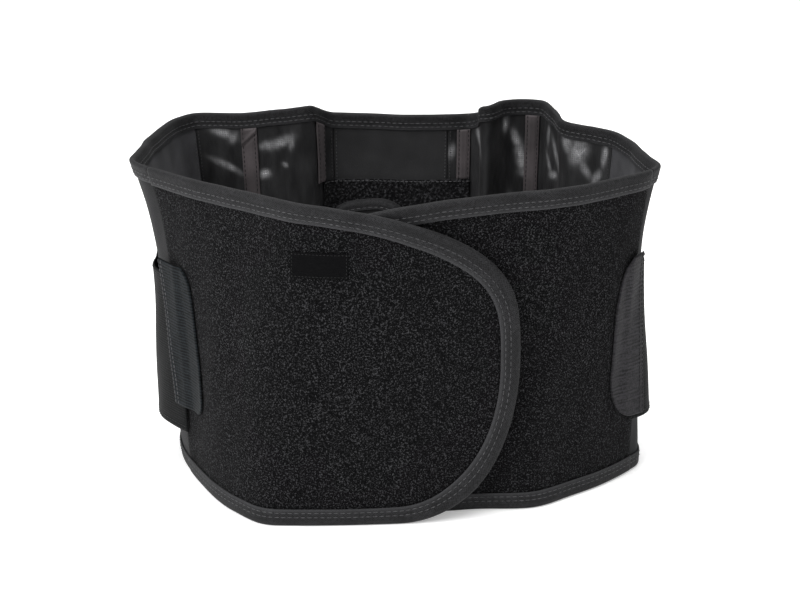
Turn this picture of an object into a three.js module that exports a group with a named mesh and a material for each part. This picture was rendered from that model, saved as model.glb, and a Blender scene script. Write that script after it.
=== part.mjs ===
// A lower back support belt, closed at the front and standing on its lower edge.
// Millimetres, +Z up. -Y is the front of the wearer, +Y the back, and the belt stands on Z = 0.
// Every cloth piece is laid on one surface, the loop: a place on it is a distance round the belt, a height, and a
// distance out of the cloth's middle. Round the belt runs from the front centre to the left of the picture first.
import * as THREE from "three";

// The loop's size.
const BELT_WIDTH = 354; // side to side at the upper edge
const BELT_DEPTH = 244; // front to back at the upper edge
const BELT_HEIGHT = 221; // at the front

// Cloth and the clearance between pieces that lie on each other.
const WING_CLOTH = 2.6; // brushed loop cloth laminated on foam
const SIDE_CLOTH = 1.6;
const NET_CLOTH = 1.2;
const CENTRE_CLOTH = 1.6;
const TAPE_CLOTH = 1.0; // the binding tape, one layer
const CHANNEL_CLOTH = 1.6; // a sewn sleeve with a flat stay in it
const CLEARANCE = 0.3;

// Edge binding, seen on each face of the cloth.
const WING_TAPE_WIDTH = 11.5;
const BACK_TAPE_WIDTH = 10;
const TAPE_EASE = 0.1; // more room under tape that runs round a wing's end

// The wings' round free ends, and how far each passes the front centre.
const OUTER_WING_REACH = 79;
const INNER_WING_REACH = 112;
const WING_END_UPPER_LENGTH = 165; // along the belt, from the tip to where the upper edge runs level
const WING_END_LOWER_LENGTH = 80;
const WING_TIP_HEIGHT = 108;
const WING_END_POWER = 1.8; // how the upper edge starts to fall: 2 as on an ellipse, and less is sooner
const WING_TIP_POWER = 3.4; // how it turns down at the tip: 2 as on an ellipse, and more is blunter
const OVERLAP_STEP_TOP = 6.2; // how far the inner wing lies inside the outer one
const OVERLAP_STEP_FOOT = 16;
const OVERLAP_RAMP_TOP = 55;
const OVERLAP_RAMP_FOOT = 75;
const OVERLAP_RAMP_PLACE = 40; // past the outer wing's tip, where the inner wing meets the loop again

// Stay channels, on the inside of the back.
const CHANNEL_WIDTH = 11;
const INNER_CHANNEL_LEFT = 14; // from the centre panel's left seam to the channel beside it
const INNER_CHANNEL_RIGHT = 12;

// The loop cloth patch on the inside of the back.
const PATCH_TOP = 172;
const PATCH_FOOT = 30;
const PATCH_CLOTH = 2.0;
const PATCH_PAST_LEFT_SEAM = 12;
const PATCH_PAST_RIGHT_SEAM = 18;

// The lumbar pad, hung on the patch.
const PAD_WIDTH = 76;
const PAD_HEIGHT = 124;
const PAD_TOP = 157;
const PAD_POWER = 3;
const PAD_TILT = 6; // degrees, its top leaning to the left of the picture
const PAD_THICKNESS = 11;
const PAD_EDGE = 5;
const PAD_TAPE_WIDTH = 6;
const PAD_PLACE = -25; // from the back centre, to the right of the picture

// Side pulls: an elastic band from the back to each front corner, and a hook tab sewn on its end.
// rear is the tab's sewn edge, behind the wing's seam. round is the length of the tab's rounded front end, and
// upperRound and lowerRound its heights there, and lean how much further forward its lower end lies than its upper.
// At the corner the band's upper edge stands lift off the belt, and its lower edge standOff further.
const BAND_HEIGHT = 112;
const BAND_CLOTH = 1.6;
const TAB_CLOTH = 1.8;
const TAB_SEAM = 12; // the length of the tab that lies on its band
const TAB_LEAD = 3.5; // past the band's end, where the tab starts to come down to the wing
const TAB_RAMP = 9; // the length over which it comes down
const TAB_EASE = 0.15; // the stiff tab lies this much higher than soft cloth does
const BAND_SETTLE = 95; // behind the corner, where the band lies on the belt again
const LEFT_PULL = {
  foot: 34, lift: 2.5, standOff: 8, rear: 4, length: 37, lean: 8,
  tabFoot: 54, tabHeight: 103, round: 12, upperRound: 14, lowerRound: 12,
};
const RIGHT_PULL = {
  foot: 43, lift: 0, standOff: 6, rear: 2, length: 32, lean: 0,
  tabFoot: 47, tabHeight: 117, round: 22, upperRound: 48, lowerRound: 38,
};
const TAB_COLUMNS = 10;

// The woven label on the outer wing.
const LABEL_WIDTH = 37;
const LABEL_HEIGHT = 17;
const LABEL_CLOTH = 0.6;
const LABEL_FOOT = 172;
const LABEL_PLACE = 52; // from the front centre to the label's middle

const COLOURS = {
  loopCloth: 0x141416,
  binding: 0x242427,
  net: 0x1b1b1e,
  lining: 0x202023,
  channel: 0x2b292b,
  elastic: 0x1d2124,
  hookTab: 0x2d3036,
  label: 0x08080a,
};

// The loop's sections, one row each, from the front centre round the left side, the back and the right side.
// x and y are the upper edge's place, footX and footY the lower edge's, as shares of half the width and half the depth.
// top is the upper edge's height as a share of the belt's height, and pinch how far the cloth draws in between the
// edges, as a share of half the width. The outer bands pass straight over bridged sections.
const SECTIONS = [
  { at: "front", x: 0.03, y: -1.0, footX: 0.03, footY: -0.945, top: 1, pinch: 0, bridged: false },
  { at: "front", x: -0.32, y: -0.97, footX: -0.355, footY: -0.97, top: 1, pinch: 0, bridged: false },
  { at: "front", x: -0.445, y: -0.86, footX: -0.48, footY: -0.95, top: 1, pinch: 0, bridged: false },
  { at: "front", x: -0.575, y: -0.7, footX: -0.58, footY: -0.815, top: 1, pinch: 0, bridged: false },
  { at: "front", x: -0.69, y: -0.57, footX: -0.655, footY: -0.67, top: 1, pinch: 0.006, bridged: false },
  { at: "leftSeam", x: -0.91, y: -0.275, footX: -0.785, footY: -0.28, top: 1, pinch: 0.03, bridged: false },
  { at: "leftCorner", x: -0.99, y: -0.11, footX: -0.84, footY: -0.03, top: 1, pinch: 0.038, bridged: false },
  { at: "side", x: -0.985, y: 0.09, footX: -0.85, footY: 0.2, top: 1, pinch: 0.038, bridged: false },
  { at: "side", x: -0.96, y: 0.47, footX: -0.835, footY: 0.555, top: 1, pinch: 0.03, bridged: false },
  { at: "side", x: -0.895, y: 0.88, footX: -0.78, footY: 0.82, top: 1, pinch: 0.012, bridged: false },
  { at: "leftBackCorner", x: -0.835, y: 0.975, footX: -0.725, footY: 0.9, top: 1.002, pinch: 0, bridged: false },
  { at: "back", x: -0.675, y: 0.91, footX: -0.6, footY: 0.86, top: 1.01, pinch: 0, bridged: true },
  { at: "leftChannel", x: -0.6, y: 0.87, footX: -0.545, footY: 0.835, top: 1.018, pinch: 0, bridged: true },
  { at: "back", x: -0.455, y: 0.825, footX: -0.425, footY: 0.81, top: 1.036, pinch: 0, bridged: true },
  { at: "leftFold", x: -0.345, y: 0.8, footX: -0.32, footY: 0.8, top: 1.05, pinch: 0, bridged: true },
  { at: "back", x: -0.315, y: 0.868, footX: -0.3, footY: 0.855, top: 1.036, pinch: 0, bridged: true },
  { at: "back", x: -0.288, y: 0.935, footX: -0.275, footY: 0.9, top: 1.018, pinch: 0, bridged: true },
  { at: "centreLeft", x: -0.25, y: 0.965, footX: -0.24, footY: 0.92, top: 1.006, pinch: 0, bridged: false },
  { at: "backCentre", x: 0.055, y: 0.955, footX: 0.055, footY: 0.91, top: 1, pinch: 0, bridged: false },
  { at: "centreRight", x: 0.23, y: 0.96, footX: 0.22, footY: 0.915, top: 1, pinch: 0, bridged: false },
  { at: "back", x: 0.325, y: 0.965, footX: 0.315, footY: 0.91, top: 1.003, pinch: 0, bridged: false },
  { at: "back", x: 0.36, y: 0.9, footX: 0.352, footY: 0.87, top: 1.018, pinch: 0, bridged: true },
  { at: "rightFold", x: 0.366, y: 0.82, footX: 0.36, footY: 0.81, top: 1.043, pinch: 0, bridged: true },
  { at: "back", x: 0.39, y: 0.786, footX: 0.384, footY: 0.776, top: 1.052, pinch: 0, bridged: true },
  { at: "back", x: 0.414, y: 0.82, footX: 0.408, footY: 0.81, top: 1.054, pinch: 0, bridged: true },
  { at: "back", x: 0.45, y: 0.9, footX: 0.44, footY: 0.86, top: 1.054, pinch: 0, bridged: true },
  { at: "back", x: 0.505, y: 0.95, footX: 0.49, footY: 0.9, top: 1.052, pinch: 0, bridged: true },
  { at: "rightChannel", x: 0.585, y: 0.965, footX: 0.565, footY: 0.91, top: 1.05, pinch: 0, bridged: false },
  { at: "lobe", x: 0.63, y: 0.945, footX: 0.61, footY: 0.89, top: 1.047, pinch: 0, bridged: false },
  { at: "back", x: 0.658, y: 0.82, footX: 0.652, footY: 0.785, top: 1.036, pinch: 0, bridged: true },
  { at: "back", x: 0.69, y: 0.68, footX: 0.692, footY: 0.68, top: 1.02, pinch: 0, bridged: true },
  { at: "back", x: 0.76, y: 0.59, footX: 0.76, footY: 0.6, top: 1.014, pinch: 0, bridged: true },
  { at: "rightBackCorner", x: 0.885, y: 0.465, footX: 0.875, footY: 0.47, top: 1.008, pinch: 0.012, bridged: false },
  { at: "side", x: 0.94, y: 0.275, footX: 0.93, footY: 0.29, top: 1.002, pinch: 0.03, bridged: false },
  { at: "side", x: 0.983, y: -0.05, footX: 0.97, footY: 0, top: 1, pinch: 0.042, bridged: false },
  { at: "rightCorner", x: 1.0, y: -0.227, footX: 0.97, footY: -0.16, top: 1, pinch: 0.044, bridged: false },
  { at: "rightSeam", x: 0.963, y: -0.325, footX: 0.93, footY: -0.25, top: 1, pinch: 0.03, bridged: false },
  { at: "front", x: 0.83, y: -0.495, footX: 0.8, footY: -0.455, top: 1, pinch: 0, bridged: false },
  { at: "front", x: 0.67, y: -0.655, footX: 0.64, footY: -0.64, top: 1, pinch: 0, bridged: false },
  { at: "front", x: 0.52, y: -0.775, footX: 0.525, footY: -0.785, top: 1, pinch: 0, bridged: false },
  { at: "front", x: 0.31, y: -0.915, footX: 0.335, footY: -0.885, top: 1, pinch: 0, bridged: false },
];

const LENGTH_STEPS_PER_SECTION = 24;
const HALF_WIDTH = BELT_WIDTH / 2;
const HALF_DEPTH = BELT_DEPTH / 2;
const EDGE = TAPE_CLOTH + CLEARANCE; // the cloth ends this far inside the belt's outline, under its binding

const lerp = THREE.MathUtils.lerp;
const clamp = THREE.MathUtils.clamp;
const smooth = (share) => THREE.MathUtils.smoothstep(share, 0, 1);

// The edges and the two other columns as closed curves through the sections.
const closedCurve = (pointOf, kind) => new THREE.CatmullRomCurve3(SECTIONS.map(pointOf), true, kind);
const upperEdge = closedCurve((r) => new THREE.Vector3(r.x * HALF_WIDTH, r.y * HALF_DEPTH, 0), "centripetal");
const lowerEdge = closedCurve((r) => new THREE.Vector3(r.footX * HALF_WIDTH, r.footY * HALF_DEPTH, 0), "centripetal");
const heights = closedCurve((r) => new THREE.Vector3(r.top * BELT_HEIGHT, r.pinch * HALF_WIDTH, 0), "catmullrom");

// The same for the loop that the outer bands follow, which runs straight over the back's folds.
function bridgedRows() {
  const count = SECTIONS.length;
  return SECTIONS.map((row, i) => {
    if (!row.bridged) return row;
    let before = i;
    let after = i;
    while (SECTIONS[before].bridged) before--;
    while (SECTIONS[after % count].bridged) after++;
    const share = (i - before) / (after - before);
    const mixed = { ...row };
    for (const key of ["x", "y", "footX", "footY"]) mixed[key] = lerp(SECTIONS[before][key], SECTIONS[after][key], share);
    return mixed;
  });
}
const taut = bridgedRows();
const tautUpper = new THREE.CatmullRomCurve3(
  taut.map((r) => new THREE.Vector3(r.x * HALF_WIDTH, r.y * HALF_DEPTH, 0)), true, "centripetal");
const tautLower = new THREE.CatmullRomCurve3(
  taut.map((r) => new THREE.Vector3(r.footX * HALF_WIDTH, r.footY * HALF_DEPTH, 0)), true, "centripetal");

// Distance round the belt at mid height, against the curves' own parameter.
const lengthSteps = SECTIONS.length * LENGTH_STEPS_PER_SECTION;
const middleOf = (t) => upperEdge.getPoint(t).add(lowerEdge.getPoint(t)).multiplyScalar(0.5);
const distances = [0];
for (let i = 1; i <= lengthSteps; i++) {
  const step = middleOf((i - 1) / lengthSteps).distanceTo(middleOf((i % lengthSteps) / lengthSteps));
  distances.push(distances[i - 1] + step);
}
const GIRTH = distances[lengthSteps];

// The curves' parameter, 0 to 1, at a distance round the belt.
function parameterAt(distance) {
  const round = THREE.MathUtils.euclideanModulo(distance, GIRTH);
  let low = 0;
  let high = lengthSteps;
  while (high - low > 1) {
    const mid = (low + high) >> 1;
    if (distances[mid] <= round) low = mid;
    else high = mid;
  }
  return (low + (round - distances[low]) / (distances[high] - distances[low])) / lengthSteps;
}

// The distance round the belt of a section, by its name. Names that repeat give the first of them.
function sectionPlace(name) {
  const row = SECTIONS.findIndex((r) => r.at === name);
  return distances[row * LENGTH_STEPS_PER_SECTION];
}

const topHeightAt = (distance) => heights.getPoint(parameterAt(distance)).x;

// How far the cloth draws in at a share of the height, 1 at most. It bends only at the knees, where pieces have rows.
const KNEES = [0.35, 0.62, 0.82];
const drawCurve = (share) => 6.75 * share * share * (1 - share);
function drawIn(share) {
  const stops = [0, ...KNEES, 1];
  const after = Math.max(1, stops.findIndex((stop) => stop > share || stop === 1));
  const [low, high] = [stops[after - 1], stops[after]];
  return lerp(drawCurve(low), drawCurve(high), clamp((share - low) / (high - low), 0, 1));
}

// The middle of the cloth at a distance and a height.
const LOOP = { upper: upperEdge, lower: lowerEdge };
const TAUT_LOOP = { upper: tautUpper, lower: tautLower };
function clothMiddle(distance, height, loop = LOOP) {
  const t = parameterAt(distance);
  const { x: top, y: pinch } = heights.getPoint(t);
  const share = height / top;
  const upper = loop.upper.getPoint(t);
  const point = loop.lower.getPoint(t).lerp(upper, share);
  point.x -= drawIn(share) * pinch * Math.sign(upper.x);
  point.z = height;
  return point;
}

const PROBE = 0.6;

// A point off the cloth's middle: out is positive away from the wearer, and level, so that heights stay true.
function onBelt(distance, height, out, loop = LOOP) {
  const middle = clothMiddle(distance, height, loop);
  const along = clothMiddle(distance + PROBE, height, loop).sub(clothMiddle(distance - PROBE, height, loop));
  const outwards = new THREE.Vector3(-along.y, along.x, 0).normalize();
  return middle.addScaledVector(outwards, out);
}

// The inner wing leaves the loop and runs inside the outer wing. Its distances go on past GIRTH.
const rampStart = -OUTER_WING_REACH - OVERLAP_RAMP_PLACE;
function innerStep(distance, height) {
  const past = distance - GIRTH - rampStart;
  const share = clamp(height / BELT_HEIGHT, 0, 1);
  const top = OVERLAP_STEP_TOP * smooth(past / OVERLAP_RAMP_TOP);
  const foot = OVERLAP_STEP_FOOT * smooth(past / OVERLAP_RAMP_FOOT);
  return lerp(foot, top, share);
}
const onInnerWing = (distance, height, out) => onBelt(distance, height, out - innerStep(distance, height));
const RAMP_COLUMNS = 8;
const rampColumns = [];
for (let i = 0; i <= RAMP_COLUMNS; i++) {
  rampColumns.push(GIRTH + rampStart + (OVERLAP_RAMP_FOOT * i) / RAMP_COLUMNS);
}

// Columns of every piece lie at the same distances, so that pieces on each other bend at the same lines. They are
// as close as keeps a chord within SAG of the curve at both edges.
const SAG = 0.19;
const COLUMN_STEP = 1;
const LONGEST_COLUMN = 26;
function turningAt(distance, edge) {
  const before = edge.getPoint(parameterAt(distance - 2 * COLUMN_STEP));
  const here = edge.getPoint(parameterAt(distance));
  const after = edge.getPoint(parameterAt(distance + 2 * COLUMN_STEP));
  const length = before.distanceTo(here) + here.distanceTo(after);
  return (2 * here.clone().sub(before).angleTo(after.sub(here))) / length;
}
const columns = [];
let spent = 1;
for (let distance = 0; distance < GIRTH - COLUMN_STEP; distance += COLUMN_STEP) {
  if (spent >= 1) {
    columns.push(distance);
    spent = 0;
  }
  const turning = Math.max(turningAt(distance, upperEdge), turningAt(distance, lowerEdge));
  spent += Math.max(COLUMN_STEP * Math.sqrt(turning / (8 * SAG)), COLUMN_STEP / LONGEST_COLUMN);
}
const NEAREST_COLUMNS = 1.2;
function columnsBetween(from, to, extra = []) {
  const places = [...extra];
  for (const turn of [-GIRTH, 0, GIRTH]) {
    for (const place of columns) {
      const taken = extra.some((other) => Math.abs(other - place - turn) < NEAREST_COLUMNS);
      if (!taken) places.push(place + turn);
    }
  }
  const inside = places.filter((place) => place > from + NEAREST_COLUMNS && place < to - NEAREST_COLUMNS);
  return [from, ...inside.sort((a, b) => a - b), to];
}

// Heights of a piece's rows from low to high: its edges, the tapes' inner edges and the knees between them.
const kneeHeights = KNEES.map((knee) => knee * BELT_HEIGHT);
const MOST_TAPE_SHARE = 0.3; // near a wing's tip, where the two tapes nearly meet
function rowsFromEdgeToEdge(tapeWidth) {
  const tapeLine = EDGE + tapeWidth;
  const kneeShares = kneeHeights.map((knee) => (knee - tapeLine) / (BELT_HEIGHT - 2 * tapeLine));
  return (low, high) => {
    const tape = Math.min(tapeWidth, (high - low) * MOST_TAPE_SHARE);
    const knees = kneeShares.map((share) => lerp(low + tape, high - tape, share));
    return [low, low + tape, ...knees, high - tape, high];
  };
}
// The same for a piece of which the widest column runs from this low to this high.
const NEAREST_ROWS = 2;
function rowsWithin(lowest, highest) {
  const knees = kneeHeights.filter((knee) => knee > lowest + NEAREST_ROWS && knee < highest - NEAREST_ROWS);
  const shares = knees.map((knee) => (knee - lowest) / (highest - lowest));
  return (low, high) => [low, ...shares.map((share) => lerp(low, high, share)), high];
}

// A closed geometry from points and triangles, with its faces turned outwards.
function closedGeometry(points, triangles) {
  let volume = 0;
  const cross = new THREE.Vector3();
  for (const [a, b, c] of triangles) {
    volume += points[a].dot(cross.crossVectors(points[b], points[c]));
  }
  const turned = volume < 0 ? triangles.map(([a, b, c]) => [a, c, b]) : triangles;
  const geometry = new THREE.BufferGeometry().setFromPoints(points);
  geometry.setIndex(turned.flat());
  geometry.computeVertexNormals();
  return geometry;
}

// A sheet with two faces: face(column, row, side) gives a point, side 0 being the inner face and 1 the outer one.
function sheetGeometry(columnCount, rowCount, face) {
  const points = [];
  for (const side of [0, 1]) {
    for (let i = 0; i < columnCount; i++) {
      for (let j = 0; j < rowCount; j++) points.push(face(i, j, side));
    }
  }
  const index = (i, j, side) => side * columnCount * rowCount + i * rowCount + j;
  const triangles = [];
  const quad = (a, b, c, d) => triangles.push([a, b, c], [a, c, d]);
  for (let i = 0; i + 1 < columnCount; i++) {
    for (let j = 0; j + 1 < rowCount; j++) {
      quad(index(i, j, 1), index(i + 1, j, 1), index(i + 1, j + 1, 1), index(i, j + 1, 1));
      quad(index(i, j, 0), index(i, j + 1, 0), index(i + 1, j + 1, 0), index(i + 1, j, 0));
    }
    const last = rowCount - 1;
    quad(index(i, 0, 0), index(i + 1, 0, 0), index(i + 1, 0, 1), index(i, 0, 1));
    quad(index(i, last, 0), index(i, last, 1), index(i + 1, last, 1), index(i + 1, last, 0));
  }
  for (let j = 0; j + 1 < rowCount; j++) {
    const last = columnCount - 1;
    quad(index(0, j, 0), index(0, j, 1), index(0, j + 1, 1), index(0, j + 1, 0));
    quad(index(last, j, 0), index(last, j + 1, 0), index(last, j + 1, 1), index(last, j, 1));
  }
  return closedGeometry(points, triangles);
}

// A cloth piece between two heights that may change with the distance. out is the outer face's place.
function clothPiece({ places, low, high, out, thickness, surface = onBelt, rowsOf }) {
  const lowest = Math.min(...places.map(low));
  const highest = Math.max(...places.map(high));
  const pieceRows = rowsOf ?? rowsWithin(lowest, highest);
  const rows = places.map((place) => pieceRows(low(place), high(place)));
  return sheetGeometry(places.length, rows[0].length, (i, j, side) =>
    surface(places[i], rows[i][j], out - (side ? 0 : thickness)),
  );
}

// A section swept along a path on the belt. The section's across is measured outwards over the cloth's edge and its
// out away from the wearer. path holds places and heights in order, with the cloth on the left of its direction.
// upright is 1 or -1 for a path whose section stands straight up or down from it.
function edgeSweep({ path, section, surface = onBelt, closed = false, upright = 0 }) {
  const count = path.length;
  const rings = path.map((here, i) => {
    const before = path[closed ? (i + count - 1) % count : Math.max(i - 1, 0)];
    const after = path[closed ? (i + 1) % count : Math.min(i + 1, count - 1)];
    const along = new THREE.Vector2(after.place - before.place, after.height - before.height).normalize();
    if (upright) along.set(-upright, 0);
    return section.map(({ across, out }) =>
      surface(here.place + along.y * across, here.height - along.x * across, out),
    );
  });
  const size = section.length;
  const triangles = [];
  const steps = closed ? count : count - 1;
  for (let i = 0; i < steps; i++) {
    const next = (i + 1) % count;
    for (let k = 0; k < size; k++) {
      const turn = (k + 1) % size;
      triangles.push([i * size + k, next * size + k, next * size + turn]);
      triangles.push([i * size + k, next * size + turn, i * size + turn]);
    }
  }
  if (!closed) {
    const outline = section.map(({ across, out }) => new THREE.Vector2(across, out));
    const cap = THREE.ShapeUtils.triangulateShape(outline, []);
    const last = (count - 1) * size;
    const anticlockwise = THREE.ShapeUtils.area(outline) > 0;
    for (const [a, b, c] of cap) {
      triangles.push(anticlockwise ? [a, b, c] : [a, c, b]);
      triangles.push(anticlockwise ? [last + a, last + c, last + b] : [last + a, last + b, last + c]);
    }
  }
  return closedGeometry(rings.flat(), triangles);
}

// Binding tape folded over an edge of cloth of this thickness, as a section for edgeSweep. Tape that runs round a
// wing's end also bends across its width, at half of it.
function foldedTape(cloth, width, bends = false) {
  const inner = cloth / 2 + CLEARANCE + (bends ? TAPE_EASE : 0);
  const outer = inner + TAPE_CLOTH;
  const bend = (out) => (bends ? [{ across: -width / 2, out }] : []);
  return [
    { across: -width, out: outer },
    ...bend(outer),
    { across: EDGE, out: outer },
    { across: EDGE, out: -outer },
    ...bend(-outer),
    { across: -width, out: -outer },
    { across: -width, out: -inner },
    ...bend(-inner),
    { across: CLEARANCE, out: -inner },
    { across: CLEARANCE, out: inner },
    ...bend(inner),
    { across: -width, out: inner },
  ];
}

// The height of a wing's upper and lower edge, at a length from its tip.
function wingUpper(fromTip, top) {
  const left = clamp(1 - fromTip / WING_END_UPPER_LENGTH, 0, 1);
  const share = (1 - left ** WING_END_POWER) ** (1 / WING_TIP_POWER);
  return lerp(WING_TIP_HEIGHT, top - EDGE, share);
}
function wingLower(fromTip) {
  const left = clamp(1 - fromTip / WING_END_LOWER_LENGTH, 0, 1);
  return lerp(WING_TIP_HEIGHT, EDGE, Math.sqrt(1 - left * left));
}

// Lengths from a wing's tip at which its round end has columns, closest at the tip.
const END_COLUMNS = 11;
const FIRST_END_COLUMN = 0.4;
const endLengths = [];
for (let i = 0; i < END_COLUMNS; i++) {
  const angle = ((i + FIRST_END_COLUMN) / END_COLUMNS) * (Math.PI / 2);
  endLengths.push(WING_END_UPPER_LENGTH * (1 - Math.cos(angle)));
}

// A wing: its cloth and its binding. side is 1 for the outer wing, whose distances grow away from its tip, and -1.
function wingParts({ tip, seam, side, surface, extra = [] }) {
  const ends = endLengths.map((length) => tip + side * length);
  const inOrder = columnsBetween(Math.min(ends[0], seam), Math.max(ends[0], seam), [...ends.slice(1), ...extra]);
  const places = side > 0 ? inOrder : [...inOrder].reverse();
  const upper = (place) => wingUpper(Math.abs(place - tip), topHeightAt(place));
  const lower = (place) => wingLower(Math.abs(place - tip));
  const cloth = clothPiece({
    places: inOrder,
    low: lower,
    high: upper,
    out: WING_CLOTH / 2,
    thickness: WING_CLOTH,
    surface,
    rowsOf: rowsFromEdgeToEdge(WING_TAPE_WIDTH),
  });
  const run = places.map((place) => ({ place, height: upper(place) })).reverse();
  const back = places.map((place) => ({ place, height: lower(place) }));
  const path = [...run, { place: tip, height: WING_TIP_HEIGHT }, ...back];
  if (side < 0) path.reverse();
  const binding = edgeSweep({ path, section: foldedTape(WING_CLOTH, WING_TAPE_WIDTH, true), surface });
  return { cloth, binding };
}

// Seams round the belt.
const leftSeam = sectionPlace("leftSeam");
const rightSeam = sectionPlace("rightSeam");
const leftBackSeam = sectionPlace("leftBackCorner");
const rightBackSeam = sectionPlace("rightBackCorner");
const centreLeftSeam = sectionPlace("centreLeft");
const centreRightSeam = sectionPlace("centreRight");

// A straight panel between two seams, from edge to edge of the belt.
function panel(from, to, thickness) {
  return clothPiece({
    places: columnsBetween(from + CLEARANCE / 2, to - CLEARANCE / 2),
    low: () => EDGE,
    high: (place) => topHeightAt(place) - EDGE,
    out: thickness / 2,
    thickness,
    rowsOf: rowsFromEdgeToEdge(BACK_TAPE_WIDTH),
  });
}

// Binding along the back's upper or lower edge, from side seam to side seam.
function backBinding(isTop) {
  const places = columnsBetween(leftSeam + CLEARANCE / 2, rightSeam - CLEARANCE / 2);
  const path = places.map((place) => ({ place, height: isTop ? topHeightAt(place) - EDGE : EDGE }));
  if (isTop) path.reverse();
  return edgeSweep({ path, section: foldedTape(SIDE_CLOTH, BACK_TAPE_WIDTH), upright: isTop ? 1 : -1 });
}

// A sleeve for a stay on the inside of the back, centred at a place. foot is the height of its lower end.
const channelFace = -NET_CLOTH / 2 - CLEARANCE;
function stayChannel(centre, foot) {
  return clothPiece({
    places: columnsBetween(centre - CHANNEL_WIDTH / 2, centre + CHANNEL_WIDTH / 2),
    low: () => foot,
    high: (place) => topHeightAt(place) - EDGE - BACK_TAPE_WIDTH - CLEARANCE,
    out: channelFace,
    thickness: CHANNEL_CLOTH,
  });
}
const channelFoot = EDGE + BACK_TAPE_WIDTH + CLEARANCE;
const innerChannelFoot = PATCH_TOP + CLEARANCE;

// The patch lies between the two folds of the back, clear of them.
const patchFrom = centreLeftSeam - PATCH_PAST_LEFT_SEAM;
const patchTo = centreRightSeam + PATCH_PAST_RIGHT_SEAM;
const patchFace = -CENTRE_CLOTH / 2 - CLEARANCE;
const patch = clothPiece({
  places: columnsBetween(patchFrom, patchTo),
  low: () => PATCH_FOOT,
  high: () => PATCH_TOP,
  out: patchFace,
  thickness: PATCH_CLOTH,
});

// The pad's outline at an angle round its middle, as a place and a height. grow moves it outwards.
const padCentre = { place: sectionPlace("backCentre") + PAD_PLACE, height: PAD_TOP - PAD_HEIGHT / 2 };
const padTurn = THREE.MathUtils.degToRad(PAD_TILT);
function padPoint(across, up) {
  const turned = new THREE.Vector2(across, up).rotateAround(new THREE.Vector2(), padTurn);
  return { place: padCentre.place + turned.x, height: padCentre.height + turned.y };
}
function padOutline(angle) {
  const round = (value, half) => half * Math.sign(value) * Math.abs(value) ** (2 / PAD_POWER);
  return padPoint(round(Math.cos(angle), PAD_WIDTH / 2), round(Math.sin(angle), PAD_HEIGHT / 2));
}

// The pad: rings from its outline to its middle, thin at the binding and full inside it.
const PAD_SIDES = 26;
const padBack = patchFace - PATCH_CLOTH - CLEARANCE - TAPE_CLOTH - CLEARANCE;
const PAD_RINGS = [
  { size: 1, full: 0 },
  { size: 0.79, full: 0 },
  { size: 0.66, full: 0.72 },
  { size: 0.4, full: 1 },
];
function padGeometry() {
  const points = [];
  const triangles = [];
  for (const side of [0, 1]) {
    for (const { size, full } of PAD_RINGS) {
      for (let k = 0; k < PAD_SIDES; k++) {
        const edge = padOutline((k / PAD_SIDES) * 2 * Math.PI);
        const place = lerp(padCentre.place, edge.place, size);
        const height = lerp(padCentre.height, edge.height, size);
        points.push(onBelt(place, height, side ? padBack : padBack - lerp(PAD_EDGE, PAD_THICKNESS, full)));
      }
    }
    points.push(onBelt(padCentre.place, padCentre.height, side ? padBack : padBack - PAD_THICKNESS));
  }
  const rings = PAD_RINGS.length;
  const half = rings * PAD_SIDES + 1;
  const index = (side, ring, k) => side * half + ring * PAD_SIDES + (k % PAD_SIDES);
  const quad = (a, b, c, d) => triangles.push([a, b, c], [a, c, d]);
  for (let k = 0; k < PAD_SIDES; k++) {
    for (let r = 0; r + 1 < rings; r++) {
      quad(index(1, r, k), index(1, r, k + 1), index(1, r + 1, k + 1), index(1, r + 1, k));
      quad(index(0, r, k), index(0, r + 1, k), index(0, r + 1, k + 1), index(0, r, k + 1));
    }
    triangles.push([index(1, rings - 1, k), index(1, rings - 1, k + 1), 2 * half - 1]);
    triangles.push([index(0, rings - 1, k), half - 1, index(0, rings - 1, k + 1)]);
    quad(index(0, 0, k), index(0, 0, k + 1), index(1, 0, k + 1), index(1, 0, k));
  }
  return closedGeometry(points, triangles);
}

// Tape round the pad's edge.
function padBinding() {
  const path = [];
  for (let k = 0; k < PAD_SIDES; k++) path.push(padOutline((k / PAD_SIDES) * 2 * Math.PI));
  const middle = padBack - PAD_EDGE / 2;
  const section = foldedTape(PAD_EDGE, PAD_TAPE_WIDTH).map(({ across, out }) => ({ across, out: out + middle }));
  return edgeSweep({ path, section, closed: true });
}

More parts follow.
